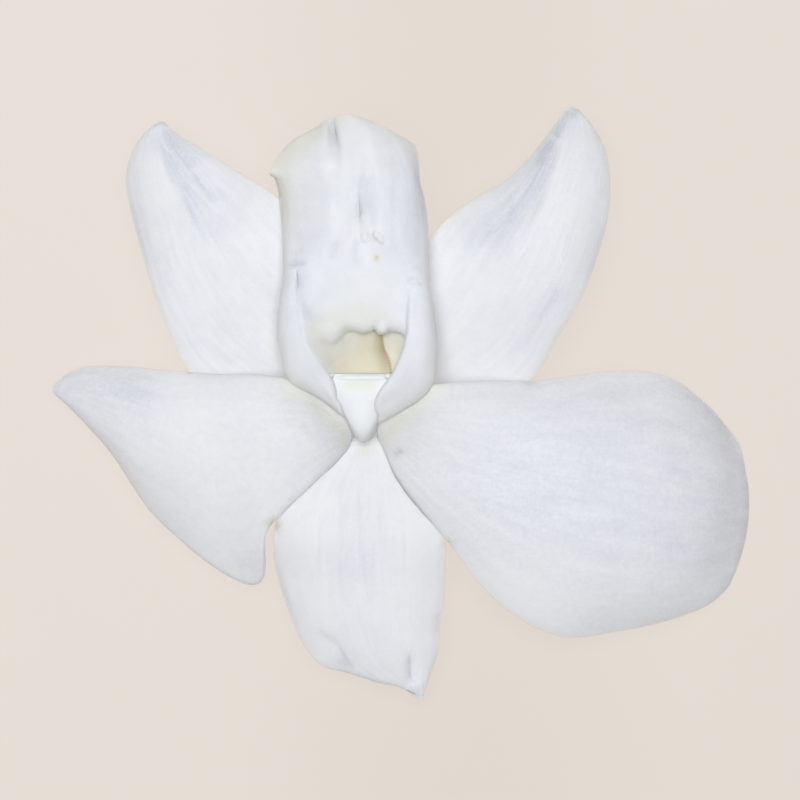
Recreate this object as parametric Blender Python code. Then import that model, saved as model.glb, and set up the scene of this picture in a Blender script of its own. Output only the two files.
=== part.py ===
"""A preserved dendrobium orchid: one flower head lying on its back, face up.

The lip points along +Y and the widest pair of petals spreads along X. Each organ is
one closed solid. The control points below are in millimetres, written for a flower
FLOWER_SPAN across, and every organ is a smooth sheet or body drawn through its points.
"""

import math

import bpy
import numpy as np

# Driving dimensions
FLOWER_SPAN = 0.065  # petal tip to petal tip, metres
DRAWN_SPAN = 65.32  # the same span in the units of the control points
TEPAL_THICKNESS = 0.6  # petals and sepals, in drawn units like all that follow
LIP_THICKNESS = 0.5
CENTRE = (0.134, -0.373)  # middle of the drawn outline, moved to the origin

# The roll under the left petal's outer margin
ROLL_END = math.radians(150)  # how far round the margin goes
ROLL_STEPS = 5
LEAST_ROLL = 0.05  # radius where the margin hardly rolls, so that no face folds up

# How the blades arch between their margins: a higher crown is flatter in the middle
FLAT_CROWN = 2.6
ROUND_CROWN = 2.2

# Faces along and across each sheet and body
PETAL_ALONG, RIGHT_PETAL_ACROSS, LEFT_PETAL_ACROSS = 22, 14, 12
SEPAL_ALONG, SEPAL_ACROSS = 22, 10
LIP_ALONG, LIP_ACROSS = 34, 24
COLUMN_ALONG, COLUMN_ROUND = 16, 14
PEDICEL_ALONG, PEDICEL_ROUND = 10, 12
CAP_RISE = (78, 55, 32, 12, 0)  # degrees above the seat, from the top down
CAP_ROUND = 16
POLLINIUM_RISE = (-65, -35, 0, 35, 65)
POLLINIUM_ROUND = 8
SHARP_EDGE = math.radians(50)  # a steeper turn than this between faces is shaded hard

# Plain colours and roughness of the tissues
TEPAL_WHITE = (0.80, 0.82, 0.86)
LIP_WHITE = (0.80, 0.82, 0.85)
COLUMN_WHITE = (0.84, 0.86, 0.88)
CAP_CREAM = (0.84, 0.83, 0.76)
POLLEN_YELLOW = (0.80, 0.70, 0.32)
STALK_GREEN = (0.72, 0.74, 0.60)
DULL, SOFT_SHEEN, WAX_SHEEN = 0.6, 0.5, 0.45

UNIT = FLOWER_SPAN / DRAWN_SPAN

# Tepals: each row crosses the blade from one margin over the midrib to the other,
# and the rows run from the base of the organ to its tip.
PETAL_RIGHT = [
    [(-1.6, -4.4, 8.9), (-1.0, -3.5, 9.8), (-0.3, -2.4, 10.5)],
    [(-0.9, -5.6, 8.8), (0.0, -3.4, 10.2), (0.8, -0.8, 10.9)],
    [(0.9, -8.8, 8.7), (2.4, -4.4, 10.5), (2.9, 1.1, 11.1)],
    [(4.2, -13.0, 8.0), (6.4, -6.4, 10.7), (7.0, 1.7, 10.2)],
    [(8.6, -18.3, 7.0), (12.5, -8.0, 10.8), (13.0, 1.9, 7.9)],
    [(14.8, -21.7, 5.8), (18.5, -9.2, 10.3), (19.5, 2.7, 5.6)],
    [(21.5, -21.4, 4.4), (24.0, -10.0, 8.8), (25.0, 2.0, 3.8)],
    [(27.0, -19.7, 2.4), (28.5, -10.4, 6.2), (28.9, -0.6, 2.0)],
    [(30.2, -17.6, 1.2), (31.4, -10.6, 2.5), (30.8, -3.0, 1.1)],
    [(31.2, -16.2, 0.6), (32.5, -10.6, 0.4), (31.8, -5.0, 0.6)],
]
PETAL_LEFT = [
    [(-4.8, -4.4, 8.9), (-5.4, -3.5, 9.8), (-6.1, -2.4, 10.5)],
    [(-5.6, -5.6, 8.8), (-6.2, -3.4, 10.2), (-7.0, -0.8, 10.9)],
    [(-8.2, -7.9, 9.2), (-8.4, -3.5, 10.7), (-9.2, 1.3, 11.0)],
    [(-12.2, -12.0, 8.2), (-12.4, -4.6, 10.5), (-12.4, 2.3, 10.0)],
    [(-13.5, -16.6, 4.8), (-16.2, -5.4, 9.6), (-17.0, 2.4, 8.2)],
    [(-18.5, -14.1, 5.0), (-20.6, -4.6, 8.7), (-22.0, 2.8, 6.2)],
    [(-23.2, -9.8, 4.6), (-25.0, -2.6, 7.2), (-26.0, 3.1, 4.4)],
    [(-26.6, -5.0, 3.8), (-28.6, -0.8, 5.4), (-29.2, 3.1, 3.1)],
    [(-29.9, -1.4, 2.6), (-31.1, 0.4, 3.7), (-31.0, 2.4, 2.4)],
    [(-31.6, 0.3, 2.2), (-32.3, 0.9, 2.5), (-31.8, 1.7, 2.2)],
]
# Radius of the curl under the left petal's outer margin, one value for each row
LEFT_ROLL = [0.0, 0.0, 0.0, 0.0, 0.9, 1.9, 2.1, 1.9, 1.4, 0.9]

SEPAL_DORSAL = [
    [(-4.4, -4.3, 7.0), (-3.2, -4.4, 7.3), (-2.0, -4.3, 7.0)],
    [(-7.7, -6.6, 6.9), (-3.2, -7.0, 8.0), (0.8, -6.8, 6.9)],
    [(-10.8, -9.6, 6.9), (-3.4, -10.4, 8.5), (3.3, -10.0, 6.9)],
    [(-11.7, -12.8, 6.5), (-3.6, -13.6, 8.4), (4.2, -13.2, 6.6)],
    [(-11.4, -16.0, 5.3), (-3.6, -17.0, 7.9), (4.2, -16.8, 5.6)],
    [(-10.4, -19.4, 4.6), (-3.2, -20.4, 7.1), (3.9, -20.2, 5.1)],
    [(-9.0, -22.6, 4.3), (-2.2, -23.4, 6.2), (3.6, -23.4, 4.6)],
    [(-6.8, -24.8, 4.2), (-0.8, -25.4, 5.3), (2.9, -25.3, 4.3)],
    [(-1.8, -26.0, 4.1), (0.9, -26.7, 4.6), (2.4, -26.8, 4.1)],
    [(1.2, -27.3, 4.0), (1.8, -27.8, 4.1), (2.2, -27.8, 4.0)],
]
SEPAL_LATERAL_LEFT = [
    [(-5.3, -1.6, 2.4), (-5.2, 1.8, 1.1), (-5.0, 5.6, 1.9)],
    [(-8.4, -1.8, 4.0), (-7.6, 2.2, 4.8), (-6.6, 8.2, 7.4)],
    [(-14.6, -0.8, 5.8), (-11.0, 4.2, 7.8), (-6.6, 11.2, 9.8)],
    [(-19.2, 2.8, 5.8), (-14.4, 7.2, 8.6), (-7.6, 14.4, 10.5)],
    [(-21.6, 7.0, 7.0), (-17.0, 10.6, 9.1), (-9.6, 17.2, 10.2)],
    [(-23.1, 10.9, 6.4), (-18.8, 14.0, 9.0), (-12.4, 19.5, 9.0)],
    [(-24.5, 15.8, 5.4), (-20.4, 17.8, 8.3), (-15.4, 21.5, 7.7)],
    [(-25.4, 20.0, 4.9), (-21.7, 21.2, 7.4), (-18.2, 23.5, 6.5)],
    [(-24.9, 22.8, 4.8), (-22.5, 23.4, 6.4), (-20.2, 24.5, 5.8)],
    [(-23.9, 24.5, 4.9), (-22.6, 24.9, 5.6), (-21.2, 25.2, 5.3)],
    [(-22.6, 25.5, 5.1), (-22.1, 25.8, 5.2), (-21.6, 25.6, 5.1)],
]
SEPAL_LATERAL_RIGHT = [
    [(-1.1, -1.6, 2.4), (-1.2, 1.8, 1.1), (-1.4, 5.6, 1.9)],
    [(2.0, -1.8, 4.0), (1.2, 2.2, 4.8), (0.3, 7.6, 7.4)],
    [(7.6, -1.0, 5.8), (4.6, 4.0, 7.8), (0.6, 10.2, 9.8)],
    [(12.0, 1.8, 6.8), (7.8, 7.0, 8.9), (1.8, 13.4, 10.4)],
    [(14.8, 6.2, 6.8), (10.2, 10.6, 9.2), (4.2, 16.6, 9.4)],
    [(17.0, 9.9, 6.9), (12.0, 14.0, 9.1), (7.2, 19.1, 7.9)],
    [(18.5, 14.0, 6.4), (13.6, 17.4, 8.6), (9.6, 20.9, 6.0)],
    [(19.4, 18.4, 6.0), (14.8, 20.8, 7.8), (11.6, 23.0, 5.2)],
    [(19.2, 22.4, 5.4), (15.9, 23.8, 6.5), (13.4, 24.8, 4.8)],
    [(18.1, 25.0, 4.7), (16.2, 25.6, 5.5), (14.6, 25.9, 4.8)],
    [(16.6, 26.8, 4.9), (16.1, 27.1, 5.0), (15.5, 27.1, 4.9)],
]

# The lip: each row crosses it from the left margin over the left flap, the left brink
# and the left wall to the middle, and on to the right margin in the same way. The
# rows run from the claw on the column foot, up the throat, out to the tip.
LIP = [
    [(-4.5, 0.5, 4.0), (-4.6, 0.7, 3.6), (-4.6, 0.9, 3.2), (-4.2, 1.1, 2.7),
     (-3.2, 1.3, 2.5),
     (-2.2, 1.1, 2.7), (-1.8, 0.9, 3.2), (-1.8, 0.7, 3.6), (-1.9, 0.5, 4.0)],
    [(-5.3, 0.4, 6.2), (-5.5, 0.9, 5.8), (-5.6, 1.3, 5.5), (-5.0, 1.5, 5.3),
     (-3.2, 1.6, 5.2),
     (-1.4, 1.5, 5.3), (-0.8, 1.3, 5.5), (-0.8, 0.9, 5.8), (-1.0, 0.4, 6.2)],
    [(-5.9, -0.9, 9.6), (-6.0, 0.3, 9.2), (-6.1, 1.1, 8.6), (-5.4, 1.7, 8.0),
     (-3.2, 1.6, 7.8),
     (-1.0, 1.7, 8.0), (-0.4, 0.9, 9.0), (-0.4, -0.2, 9.2), (-0.6, -1.2, 9.4)],
    [(-6.0, -1.8, 12.2), (-6.3, -0.8, 12.7), (-6.5, 0.4, 13.0), (-6.2, 1.9, 11.3),
     (-3.3, 1.7, 10.3),
     (-0.1, 1.7, 10.4), (0.1, 0.5, 13.2), (-0.1, -0.8, 12.9), (-0.4, -2.1, 12.4)],
    [(-7.7, 0.3, 12.3), (-7.7, 1.2, 13.1), (-7.1, 2.4, 13.5), (-6.0, 3.8, 12.5),
     (-3.4, 4.6, 11.1),
     (0.7, 4.2, 11.2), (-0.4, 2.4, 14.1), (0.8, 1.0, 13.8), (1.4, -0.3, 12.7)],
    [(-10.2, 1.9, 12.0), (-9.6, 3.1, 13.6), (-8.4, 4.6, 14.3), (-6.2, 5.2, 13.1),
     (-3.4, 6.5, 12.8),
     (0.9, 6.2, 12.9), (0.5, 4.4, 14.6), (1.9, 3.0, 14.3), (3.0, 1.5, 12.5)],
    [(-11.2, 5.6, 12.4), (-10.4, 6.0, 14.1), (-8.9, 6.7, 14.7), (-6.3, 6.5, 13.9),
     (-3.4, 6.4, 13.6),
     (0.2, 6.3, 13.7), (0.95, 6.2, 14.9), (2.4, 5.6, 14.6), (3.35, 4.6, 13.0)],
    [(-11.25, 6.8, 12.6), (-10.5, 7.1, 14.1), (-9.1, 7.7, 14.7), (-6.5, 7.2, 14.15),
     (-3.4, 7.0, 14.3),
     (0.2, 7.0, 14.3), (1.05, 7.4, 14.9), (2.4, 6.8, 14.6), (3.3, 5.8, 13.2)],
    [(-11.1, 9.0, 12.9), (-10.6, 9.3, 14.2), (-9.5, 9.9, 14.7), (-7.0, 9.0, 14.4),
     (-3.2, 8.9, 14.55),
     (0.2, 9.1, 14.6), (1.2, 9.8, 14.9), (2.4, 9.0, 14.5), (3.1, 8.2, 13.4)],
    [(-10.7, 11.7, 12.8), (-10.1, 11.9, 13.8), (-9.0, 12.0, 14.5), (-6.8, 12.0, 14.85),
     (-3.3, 12.0, 14.75),
     (0.0, 12.0, 14.9), (1.4, 11.8, 14.8), (2.1, 11.4, 14.4), (2.7, 11.1, 13.4)],
    [(-10.8, 15.4, 12.0), (-9.9, 15.4, 13.0), (-8.6, 15.4, 13.9), (-6.2, 15.5, 15.0),
     (-3.8, 15.6, 14.8),
     (-1.4, 15.4, 15.3), (0.6, 15.3, 15.0), (1.9, 15.2, 14.2), (2.7, 15.1, 13.0)],
    [(-10.7, 18.4, 11.4), (-10.1, 18.4, 12.4), (-8.6, 18.3, 13.6), (-6.3, 18.5, 14.7),
     (-4.2, 18.6, 14.4),
     (-1.8, 18.5, 15.2), (0.5, 18.4, 14.6), (1.6, 18.2, 13.8), (2.4, 18.0, 12.7)],
    [(-10.9, 20.2, 11.0), (-10.5, 20.2, 12.0), (-8.7, 20.2, 13.1), (-6.5, 20.4, 14.2),
     (-4.5, 20.6, 14.0),
     (-2.0, 20.4, 14.9), (0.2, 20.2, 14.3), (1.3, 20.0, 13.6), (1.9, 19.8, 12.0)],
    [(-12.0, 21.0, 11.4), (-10.7, 21.2, 11.9), (-9.0, 21.7, 12.7), (-6.9, 22.2, 13.6),
     (-5.3, 22.6, 13.4),
     (-2.6, 22.4, 14.3), (-0.4, 22.0, 13.8), (0.8, 21.8, 13.2), (1.75, 21.4, 11.9)],
    [(-10.6, 23.2, 10.9), (-9.6, 23.6, 11.4), (-8.2, 24.0, 12.0), (-6.9, 24.5, 12.6),
     (-5.9, 24.8, 12.5),
     (-3.2, 24.6, 13.3), (-1.3, 23.8, 13.2), (0.3, 23.2, 12.8), (1.6, 22.8, 11.7)],
    [(-9.3, 24.1, 10.6), (-8.4, 24.7, 11.0), (-7.4, 25.4, 11.3), (-7.0, 25.7, 11.6),
     (-6.2, 25.9, 11.7),
     (-4.6, 26.2, 12.2), (-2.2, 25.4, 12.3), (-0.4, 24.5, 12.3), (1.3, 23.5, 11.6)],
]

# The column: centre, half width and half depth of each section. It starts at the
# chin under the throat, turns up behind the lip and ends under the anther cap.
COLUMN = [
    ((-3.2, 4.9, 0.50), 1.0, 0.60),
    ((-3.2, 3.0, 0.50), 1.6, 0.85),
    ((-3.2, 0.8, 0.70), 1.6, 1.00),
    ((-3.2, -1.0, 2.3), 1.5, 1.15),
    ((-3.2, -1.8, 4.8), 1.6, 1.40),
    ((-3.2, -1.9, 7.6), 1.65, 1.50),
    ((-3.2, -1.2, 9.8), 1.80, 1.40),
    ((-3.2, -0.1, 11.4), 2.25, 1.20),
    ((-3.2, 0.8, 12.3), 2.60, 1.05),
]
# The anther cap is a shallow dome, open where it sits on the end of the column
CAP_SEAT = (-3.2, 1.02, 12.52)
CAP_LEAN = math.radians(45)
CAP_HALF_WIDTH = 2.75
CAP_HALF_DEPTH = 1.05
CAP_HEIGHT = 0.95
CAP_WALL = 0.22
POLLINIA = 4
POLLINIUM_HALF = (0.26, 0.32, 0.20)
POLLINIUM_PITCH = 0.85
POLLINIUM_LIFT = 0.27

# The stalk: centre and radius of each section, down to its cut end on the surface
PEDICEL = [
    ((-3.2, -4.2, 4.4), 1.05),
    ((-3.3, -6.6, 3.6), 1.20),
    ((-3.6, -9.4, 2.4), 1.10),
    ((-4.0, -12.4, 1.4), 1.05),
    ((-4.6, -15.4, 1.05), 1.15),
]


def smooth_weights(count, steps):
    """Weights that run a smooth curve through `count` points in `steps` equal steps."""
    weights = np.zeros((steps + 1, count))
    for row, place in enumerate(np.linspace(0.0, count - 1.0, steps + 1)):
        first = min(int(place), count - 2)
        t = place - first
        pulls = (
            -0.5 * t + t**2 - 0.5 * t**3,
            1.0 - 2.5 * t**2 + 1.5 * t**3,
            0.5 * t + 2.0 * t**2 - 1.5 * t**3,
            -0.5 * t**2 + 0.5 * t**3,
        )
        for index, pull in zip(range(first - 1, first + 3), pulls):
            if index < 0:
                weights[row, 0] += 2.0 * pull
                weights[row, 1] -= pull
            elif index > count - 1:
                weights[row, -1] += 2.0 * pull
                weights[row, -2] -= pull
            else:
                weights[row, index] += pull
    return weights


def tepal_grid(rows, crown, along, across):
    """A blade arched between its margins; a higher crown keeps the middle flatter."""
    rows = np.array(rows)
    left, rib, right = (smooth_weights(len(rows), along) @ rows[:, k] for k in range(3))
    v = np.linspace(-1.0, 1.0, across + 1)[None, :, None]
    tilt = (right - left)[:, None, :] / 2.0
    sag = ((right + left) / 2.0 - rib)[:, None, :]
    bow = np.concatenate([v**2, v**2, np.abs(v) ** crown], axis=2)
    return rib[:, None, :] + tilt * v + sag * bow


def net_grid(rows, along, across):
    """A smooth sheet through a net of points."""
    rows = np.array(rows)
    down = smooth_weights(rows.shape[0], along)
    over = smooth_weights(rows.shape[1], across)
    return np.einsum("ai,bj,ijk->abk", down, over, rows)


def curl_under(grid, radii, steps):
    """Rolls the first margin of a blade on round and back beneath it."""
    radii = smooth_weights(len(radii), len(grid) - 1) @ np.array(radii)
    radii = np.maximum(radii, LEAST_ROLL)[:, None]
    edge = grid[:, 0, :]
    outward = edge - grid[:, 1, :]
    outward /= np.linalg.norm(outward, axis=1)[:, None]
    beneath = -face_up(grid)[:, 0, :]
    lines = []
    for turn in np.linspace(ROLL_END, 0.0, steps, endpoint=False):
        lines.append(
            edge + radii * (math.sin(turn) * outward + (1.0 - math.cos(turn)) * beneath)
        )
    return np.concatenate([np.stack(lines, axis=1), grid], axis=1)


def face_up(grid):
    """Unit normals of a sheet, on its upper or inner side."""
    du = np.gradient(grid, axis=0)
    dv = np.gradient(grid, axis=1)
    normals = np.cross(dv, du)
    normals /= np.linalg.norm(normals, axis=2)[:, :, None]
    middle = normals[len(normals) // 2, normals.shape[1] // 2]
    return normals if middle[2] > 0.0 else -normals


def signed_volume(points, faces):
    """Volume inside the faces, negative when they point inwards."""
    total = 0.0
    for face in faces:
        for k in range(1, len(face) - 1):
            a, b, c = points[face[0]], points[face[k]], points[face[k + 1]]
            total += float(np.dot(a, np.cross(b, c))) / 6.0
    return total


def add_object(name, points, faces, material):
    """Adds a closed solid, given in drawn units, with its faces turned outwards."""
    points = (np.array(points) - (CENTRE[0], CENTRE[1], 0.0)) * UNIT
    faces = [[int(index) for index in face] for face in faces]
    if signed_volume(points, faces) < 0.0:
        faces = [face[::-1] for face in faces]
    mesh = bpy.data.meshes.new(name)
    mesh.from_pydata(points.tolist(), [], faces)
    mesh.materials.append(material)
    mesh.update()
    mesh.shade_smooth()
    mesh.set_sharp_from_angle(angle=SHARP_EDGE)
    thing = bpy.data.objects.new(name, mesh)
    bpy.context.collection.objects.link(thing)


def add_sheet(name, grid, thickness, material):
    """A closed sheet of even thickness with the grid as its middle surface."""
    rows, columns = grid.shape[:2]
    half = face_up(grid) * thickness / 2.0
    points = np.concatenate([(grid + half).reshape(-1, 3), (grid - half).reshape(-1, 3)])
    points[:, 2] = np.maximum(points[:, 2], 0.0)
    top = np.arange(rows * columns).reshape(rows, columns)
    under = top + rows * columns
    faces = []
    for r in range(rows - 1):
        for c in range(columns - 1):
            faces.append((top[r, c], top[r, c + 1], top[r + 1, c + 1], top[r + 1, c]))
            faces.append((under[r, c], under[r + 1, c], under[r + 1, c + 1], under[r, c + 1]))
    rim = [(r, 0) for r in range(rows)]
    rim += [(rows - 1, c) for c in range(1, columns)]
    rim += [(r, columns - 1) for r in range(rows - 2, -1, -1)]
    rim += [(0, c) for c in range(columns - 2, 0, -1)]
    for here, there in zip(rim, rim[1:] + rim[:1]):
        faces.append((top[here], top[there], under[there], under[here]))
    add_object(name, points, faces, material)


def add_body(name, rings, material):
    """A closed body lofted through rings of points, with a fan over each end."""
    count = len(rings[0])
    points = [point for ring in rings for point in ring]
    faces = []
    for r in range(len(rings) - 1):
        for k in range(count):
            a = r * count + k
            b = r * count + (k + 1) % count
            faces.append((a, b, b + count, a + count))
    first = len(points)
    last = first + 1
    points += [np.mean(rings[0], axis=0), np.mean(rings[-1], axis=0)]
    end = (len(rings) - 1) * count
    for k in range(count):
        after = (k + 1) % count
        faces.append((first, after, k))
        faces.append((last, end + k, end + after))
    add_object(name, points, faces, material)


def stem_rings(centres, half_widths, half_depths, count):
    """Elliptic rings square to a path that stays close to the Y-Z plane."""
    ahead = np.gradient(centres, axis=0)
    rings = []
    for centre, way, wide, deep in zip(centres, ahead, half_widths, half_depths):
        way = way / np.linalg.norm(way)
        side = np.array([1.0, 0.0, 0.0]) - way * way[0]
        side /= np.linalg.norm(side)
        back = np.cross(way, side)
        turn = [2.0 * math.pi * k / count for k in range(count)]
        ring = np.array([
            centre + wide * math.cos(a) * side + deep * math.sin(a) * back for a in turn
        ])
        ring[:, 2] = np.maximum(ring[:, 2], 0.0)
        rings.append(ring)
    return rings


def dome_rings(seat, lean, half_width, half_depth, height, rise, count):
    """Rings of a leaning half ellipsoid, one for each angle in rise above its seat."""
    axis = np.array([0.0, math.sin(lean), math.cos(lean)])
    side = np.array([1.0, 0.0, 0.0])
    front = np.array([0.0, math.cos(lean), -math.sin(lean)])
    rings = []
    for angle in rise:
        rings.append([
            np.array(seat)
            + half_width * math.cos(angle) * math.cos(turn) * side
            + half_depth * math.cos(angle) * math.sin(turn) * front
            + height * math.sin(angle) * axis
            for turn in np.linspace(0.0, 2.0 * math.pi, count, endpoint=False)
        ])
    return rings


def waxy(name, colour, roughness):
    """A plain material for one kind of tissue."""
    material = bpy.data.materials.new(name)
    material.use_nodes = True
    shader = material.node_tree.nodes["Principled BSDF"]
    shader.inputs["Base Color"].default_value = (*colour, 1.0)
    shader.inputs["Roughness"].default_value = roughness
    shader.inputs["Metallic"].default_value = 0.0
    return material


def make_tepals():
    right = tepal_grid(PETAL_RIGHT, FLAT_CROWN, PETAL_ALONG, RIGHT_PETAL_ACROSS)
    left = tepal_grid(PETAL_LEFT, ROUND_CROWN, PETAL_ALONG, LEFT_PETAL_ACROSS)
    grids = {"petal_right": right, "petal_left": curl_under(left, LEFT_ROLL, ROLL_STEPS)}
    sepals = {
        "sepal_dorsal": SEPAL_DORSAL,
        "sepal_lateral_left": SEPAL_LATERAL_LEFT,
        "sepal_lateral_right": SEPAL_LATERAL_RIGHT,
    }
    for name, rows in sepals.items():
        grids[name] = tepal_grid(rows, ROUND_CROWN, SEPAL_ALONG, SEPAL_ACROSS)
    for name, grid in grids.items():
        add_sheet(name, grid, TEPAL_THICKNESS, waxy(name + "_tissue", TEPAL_WHITE, DULL))


def make_lip():
    tissue = waxy("lip_tissue", LIP_WHITE, DULL)
    add_sheet("lip", net_grid(LIP, LIP_ALONG, LIP_ACROSS), LIP_THICKNESS, tissue)


def make_column():
    weights = smooth_weights(len(COLUMN), COLUMN_ALONG)
    centres = weights @ np.array([section[0] for section in COLUMN])
    sizes = weights @ np.array([section[1:] for section in COLUMN])
    rings = stem_rings(centres, sizes[:, 0], sizes[:, 1], COLUMN_ROUND)
    add_body("column", rings, waxy("column_tissue", COLUMN_WHITE, SOFT_SHEEN))


def make_cap():
    rise = np.radians(CAP_RISE)
    outer = dome_rings(
        CAP_SEAT, CAP_LEAN, CAP_HALF_WIDTH, CAP_HALF_DEPTH, CAP_HEIGHT, rise, CAP_ROUND
    )
    inner = dome_rings(
        CAP_SEAT, CAP_LEAN, CAP_HALF_WIDTH - CAP_WALL, CAP_HALF_DEPTH - CAP_WALL,
        CAP_HEIGHT - CAP_WALL, rise[::-1], CAP_ROUND,
    )
    add_body("anther_cap", outer + inner, waxy("cap_tissue", CAP_CREAM, SOFT_SHEEN))


def make_pollinia():
    pollen = waxy("pollen_wax", POLLEN_YELLOW, WAX_SHEEN)
    axis = np.array([0.0, math.sin(CAP_LEAN), math.cos(CAP_LEAN)])
    wide, deep, high = POLLINIUM_HALF
    rise = np.radians(POLLINIUM_RISE)
    for number in range(POLLINIA):
        seat = np.array(CAP_SEAT) + POLLINIUM_LIFT * axis
        seat[0] += (number - (POLLINIA - 1) / 2.0) * POLLINIUM_PITCH
        rings = dome_rings(seat, CAP_LEAN, wide, deep, high, rise, POLLINIUM_ROUND)
        add_body(f"pollinium_{number + 1}", rings, pollen)


def make_pedicel():
    weights = smooth_weights(len(PEDICEL), PEDICEL_ALONG)
    centres = weights @ np.array([section[0] for section in PEDICEL])
    radii = weights @ np.array([section[1] for section in PEDICEL])
    rings = stem_rings(centres, radii, radii, PEDICEL_ROUND)
    add_body("pedicel", rings, waxy("stalk_tissue", STALK_GREEN, DULL))


def main():
    for thing in list(bpy.data.objects):
        bpy.data.objects.remove(thing, do_unlink=True)
    make_tepals()
    make_lip()
    make_column()
    make_cap()
    make_pollinia()
    make_pedicel()


main()
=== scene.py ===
"""The looks of a preserved dendrobium orchid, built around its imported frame.

One flower head lies on its back, lip towards +Y. The control points below are in
drawn millimetres; UNIT and ORIGIN, read from the frame's box, turn them into the
frame's metres. Every organ is one closed skin with thin rounded margins.
"""

import math

import bpy
import numpy as np
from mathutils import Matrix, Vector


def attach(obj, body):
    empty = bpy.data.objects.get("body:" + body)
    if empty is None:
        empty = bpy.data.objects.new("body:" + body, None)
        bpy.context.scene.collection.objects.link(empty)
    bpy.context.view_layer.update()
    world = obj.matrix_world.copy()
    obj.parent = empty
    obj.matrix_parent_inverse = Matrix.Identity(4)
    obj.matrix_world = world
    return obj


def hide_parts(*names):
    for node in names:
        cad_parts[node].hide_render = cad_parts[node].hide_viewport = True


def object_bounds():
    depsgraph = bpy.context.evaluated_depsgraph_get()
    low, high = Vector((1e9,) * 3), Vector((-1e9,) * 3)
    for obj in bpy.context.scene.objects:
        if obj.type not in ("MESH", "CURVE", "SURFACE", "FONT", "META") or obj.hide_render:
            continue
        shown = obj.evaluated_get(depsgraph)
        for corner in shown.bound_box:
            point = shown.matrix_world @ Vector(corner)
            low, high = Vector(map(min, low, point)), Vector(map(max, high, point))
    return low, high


bl_info = {
    "name": "Preserved dendrobium orchid",
    "version": (1, 0, 0),
    "blender": (4, 5, 0),
    "location": "View3D > Sidebar > Orchid",
    "description": "Builds the looks of a preserved dendrobium orchid around its frame",
    "category": "Add Mesh",
}

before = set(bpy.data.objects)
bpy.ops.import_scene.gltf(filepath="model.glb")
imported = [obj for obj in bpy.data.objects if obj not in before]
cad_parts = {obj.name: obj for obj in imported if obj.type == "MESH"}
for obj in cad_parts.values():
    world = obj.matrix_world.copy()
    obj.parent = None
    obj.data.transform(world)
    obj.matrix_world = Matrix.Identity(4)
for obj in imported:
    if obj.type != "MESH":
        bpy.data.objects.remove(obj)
CAD_BOX = [list(corner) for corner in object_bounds()]

# From drawn millimetres to the frame: the frame's box is DRAWN_WIDTH wide around
# DRAWN_MIDDLE, and heights start on the surface the flower lies on.
DRAWN_WIDTH = 65.32
DRAWN_MIDDLE = (0.134, -0.373)
UNIT = (CAD_BOX[1][0] - CAD_BOX[0][0]) / DRAWN_WIDTH
ORIGIN = np.array([
    (CAD_BOX[0][0] + CAD_BOX[1][0]) / 2.0 - DRAWN_MIDDLE[0] * UNIT,
    (CAD_BOX[0][1] + CAD_BOX[1][1]) / 2.0 - DRAWN_MIDDLE[1] * UNIT,
    0.0,
])
MILLIMETRE = 0.001
FLOOR_GAP = 0.02  # drawn millimetres kept clear between any skin and the surface
DRAWN_VIEW = 74.07  # drawn millimetres across the camera's view
VIEW_LEVEL = 5.0 * MILLIMETRE  # height over the surface at which that width is seen

# Tepals: each row crosses the blade from one margin over the midrib to the other,
# and the rows run from the base of the organ to its tip.
PETAL_RIGHT = [
    [(-2.0, -3.6, 9.8), (-2.1, -2.8, 10.6), (-2.0, -1.8, 11.4)],
    [(-1.3, -5.3, 9.2), (-0.3, -3.3, 11.0), (0.4, -0.2, 12.2)],
    [(0.6, -8.6, 8.9), (2.2, -4.4, 10.7), (2.6, 1.3, 12.2)],
    [(4.2, -13.0, 8.0), (6.4, -6.4, 10.7), (7.0, 1.7, 10.7)],
    [(8.6, -18.3, 7.0), (12.5, -8.0, 10.8), (13.0, 1.9, 7.9)],
    [(14.8, -21.7, 5.8), (18.5, -9.2, 10.3), (19.5, 2.7, 5.6)],
    [(21.5, -21.4, 4.4), (24.0, -10.0, 8.8), (25.0, 2.0, 3.8)],
    [(27.0, -19.7, 2.4), (28.5, -10.4, 6.2), (28.9, -0.6, 2.0)],
    [(30.2, -17.6, 1.2), (31.4, -10.6, 2.5), (30.8, -3.0, 1.1)],
    [(31.2, -16.2, 0.6), (32.5, -10.6, 0.4), (31.8, -5.0, 0.6)],
]
PETAL_LEFT = [
    [(-4.4, -3.6, 9.8), (-4.3, -2.8, 10.6), (-4.5, -1.8, 11.2)],
    [(-5.2, -5.2, 9.2), (-6.0, -3.2, 11.0), (-6.6, -0.3, 12.0)],
    [(-8.2, -7.9, 9.2), (-8.4, -3.5, 10.7), (-8.8, 1.4, 11.9)],
    [(-12.2, -12.0, 8.2), (-12.4, -4.6, 10.5), (-12.4, 2.3, 10.5)],
    [(-13.5, -16.6, 4.8), (-16.2, -5.4, 9.6), (-17.0, 2.4, 8.2)],
    [(-18.5, -14.1, 5.0), (-20.6, -4.6, 8.7), (-22.0, 2.8, 6.2)],
    [(-23.2, -9.8, 4.6), (-25.0, -2.6, 7.2), (-26.0, 3.1, 4.4)],
    [(-26.6, -5.0, 3.8), (-28.6, -0.8, 5.4), (-29.2, 3.1, 3.1)],
    [(-29.9, -1.4, 2.6), (-31.1, 0.4, 3.7), (-31.0, 2.4, 2.4)],
    [(-31.6, 0.3, 2.2), (-32.3, 0.9, 2.5), (-31.8, 1.7, 2.2)],
]
# Radius of the curl under the left petal's outer margin, one value for each row, how
# far round the curl goes, and its steps
LEFT_ROLL = [0.0, 0.0, 0.0, 0.0, 0.9, 1.9, 2.1, 1.9, 1.4, 0.9]
SMALLEST_ROLL = 0.05
ROLL_END = math.radians(150.0)
ROLL_STEPS = 20

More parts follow.
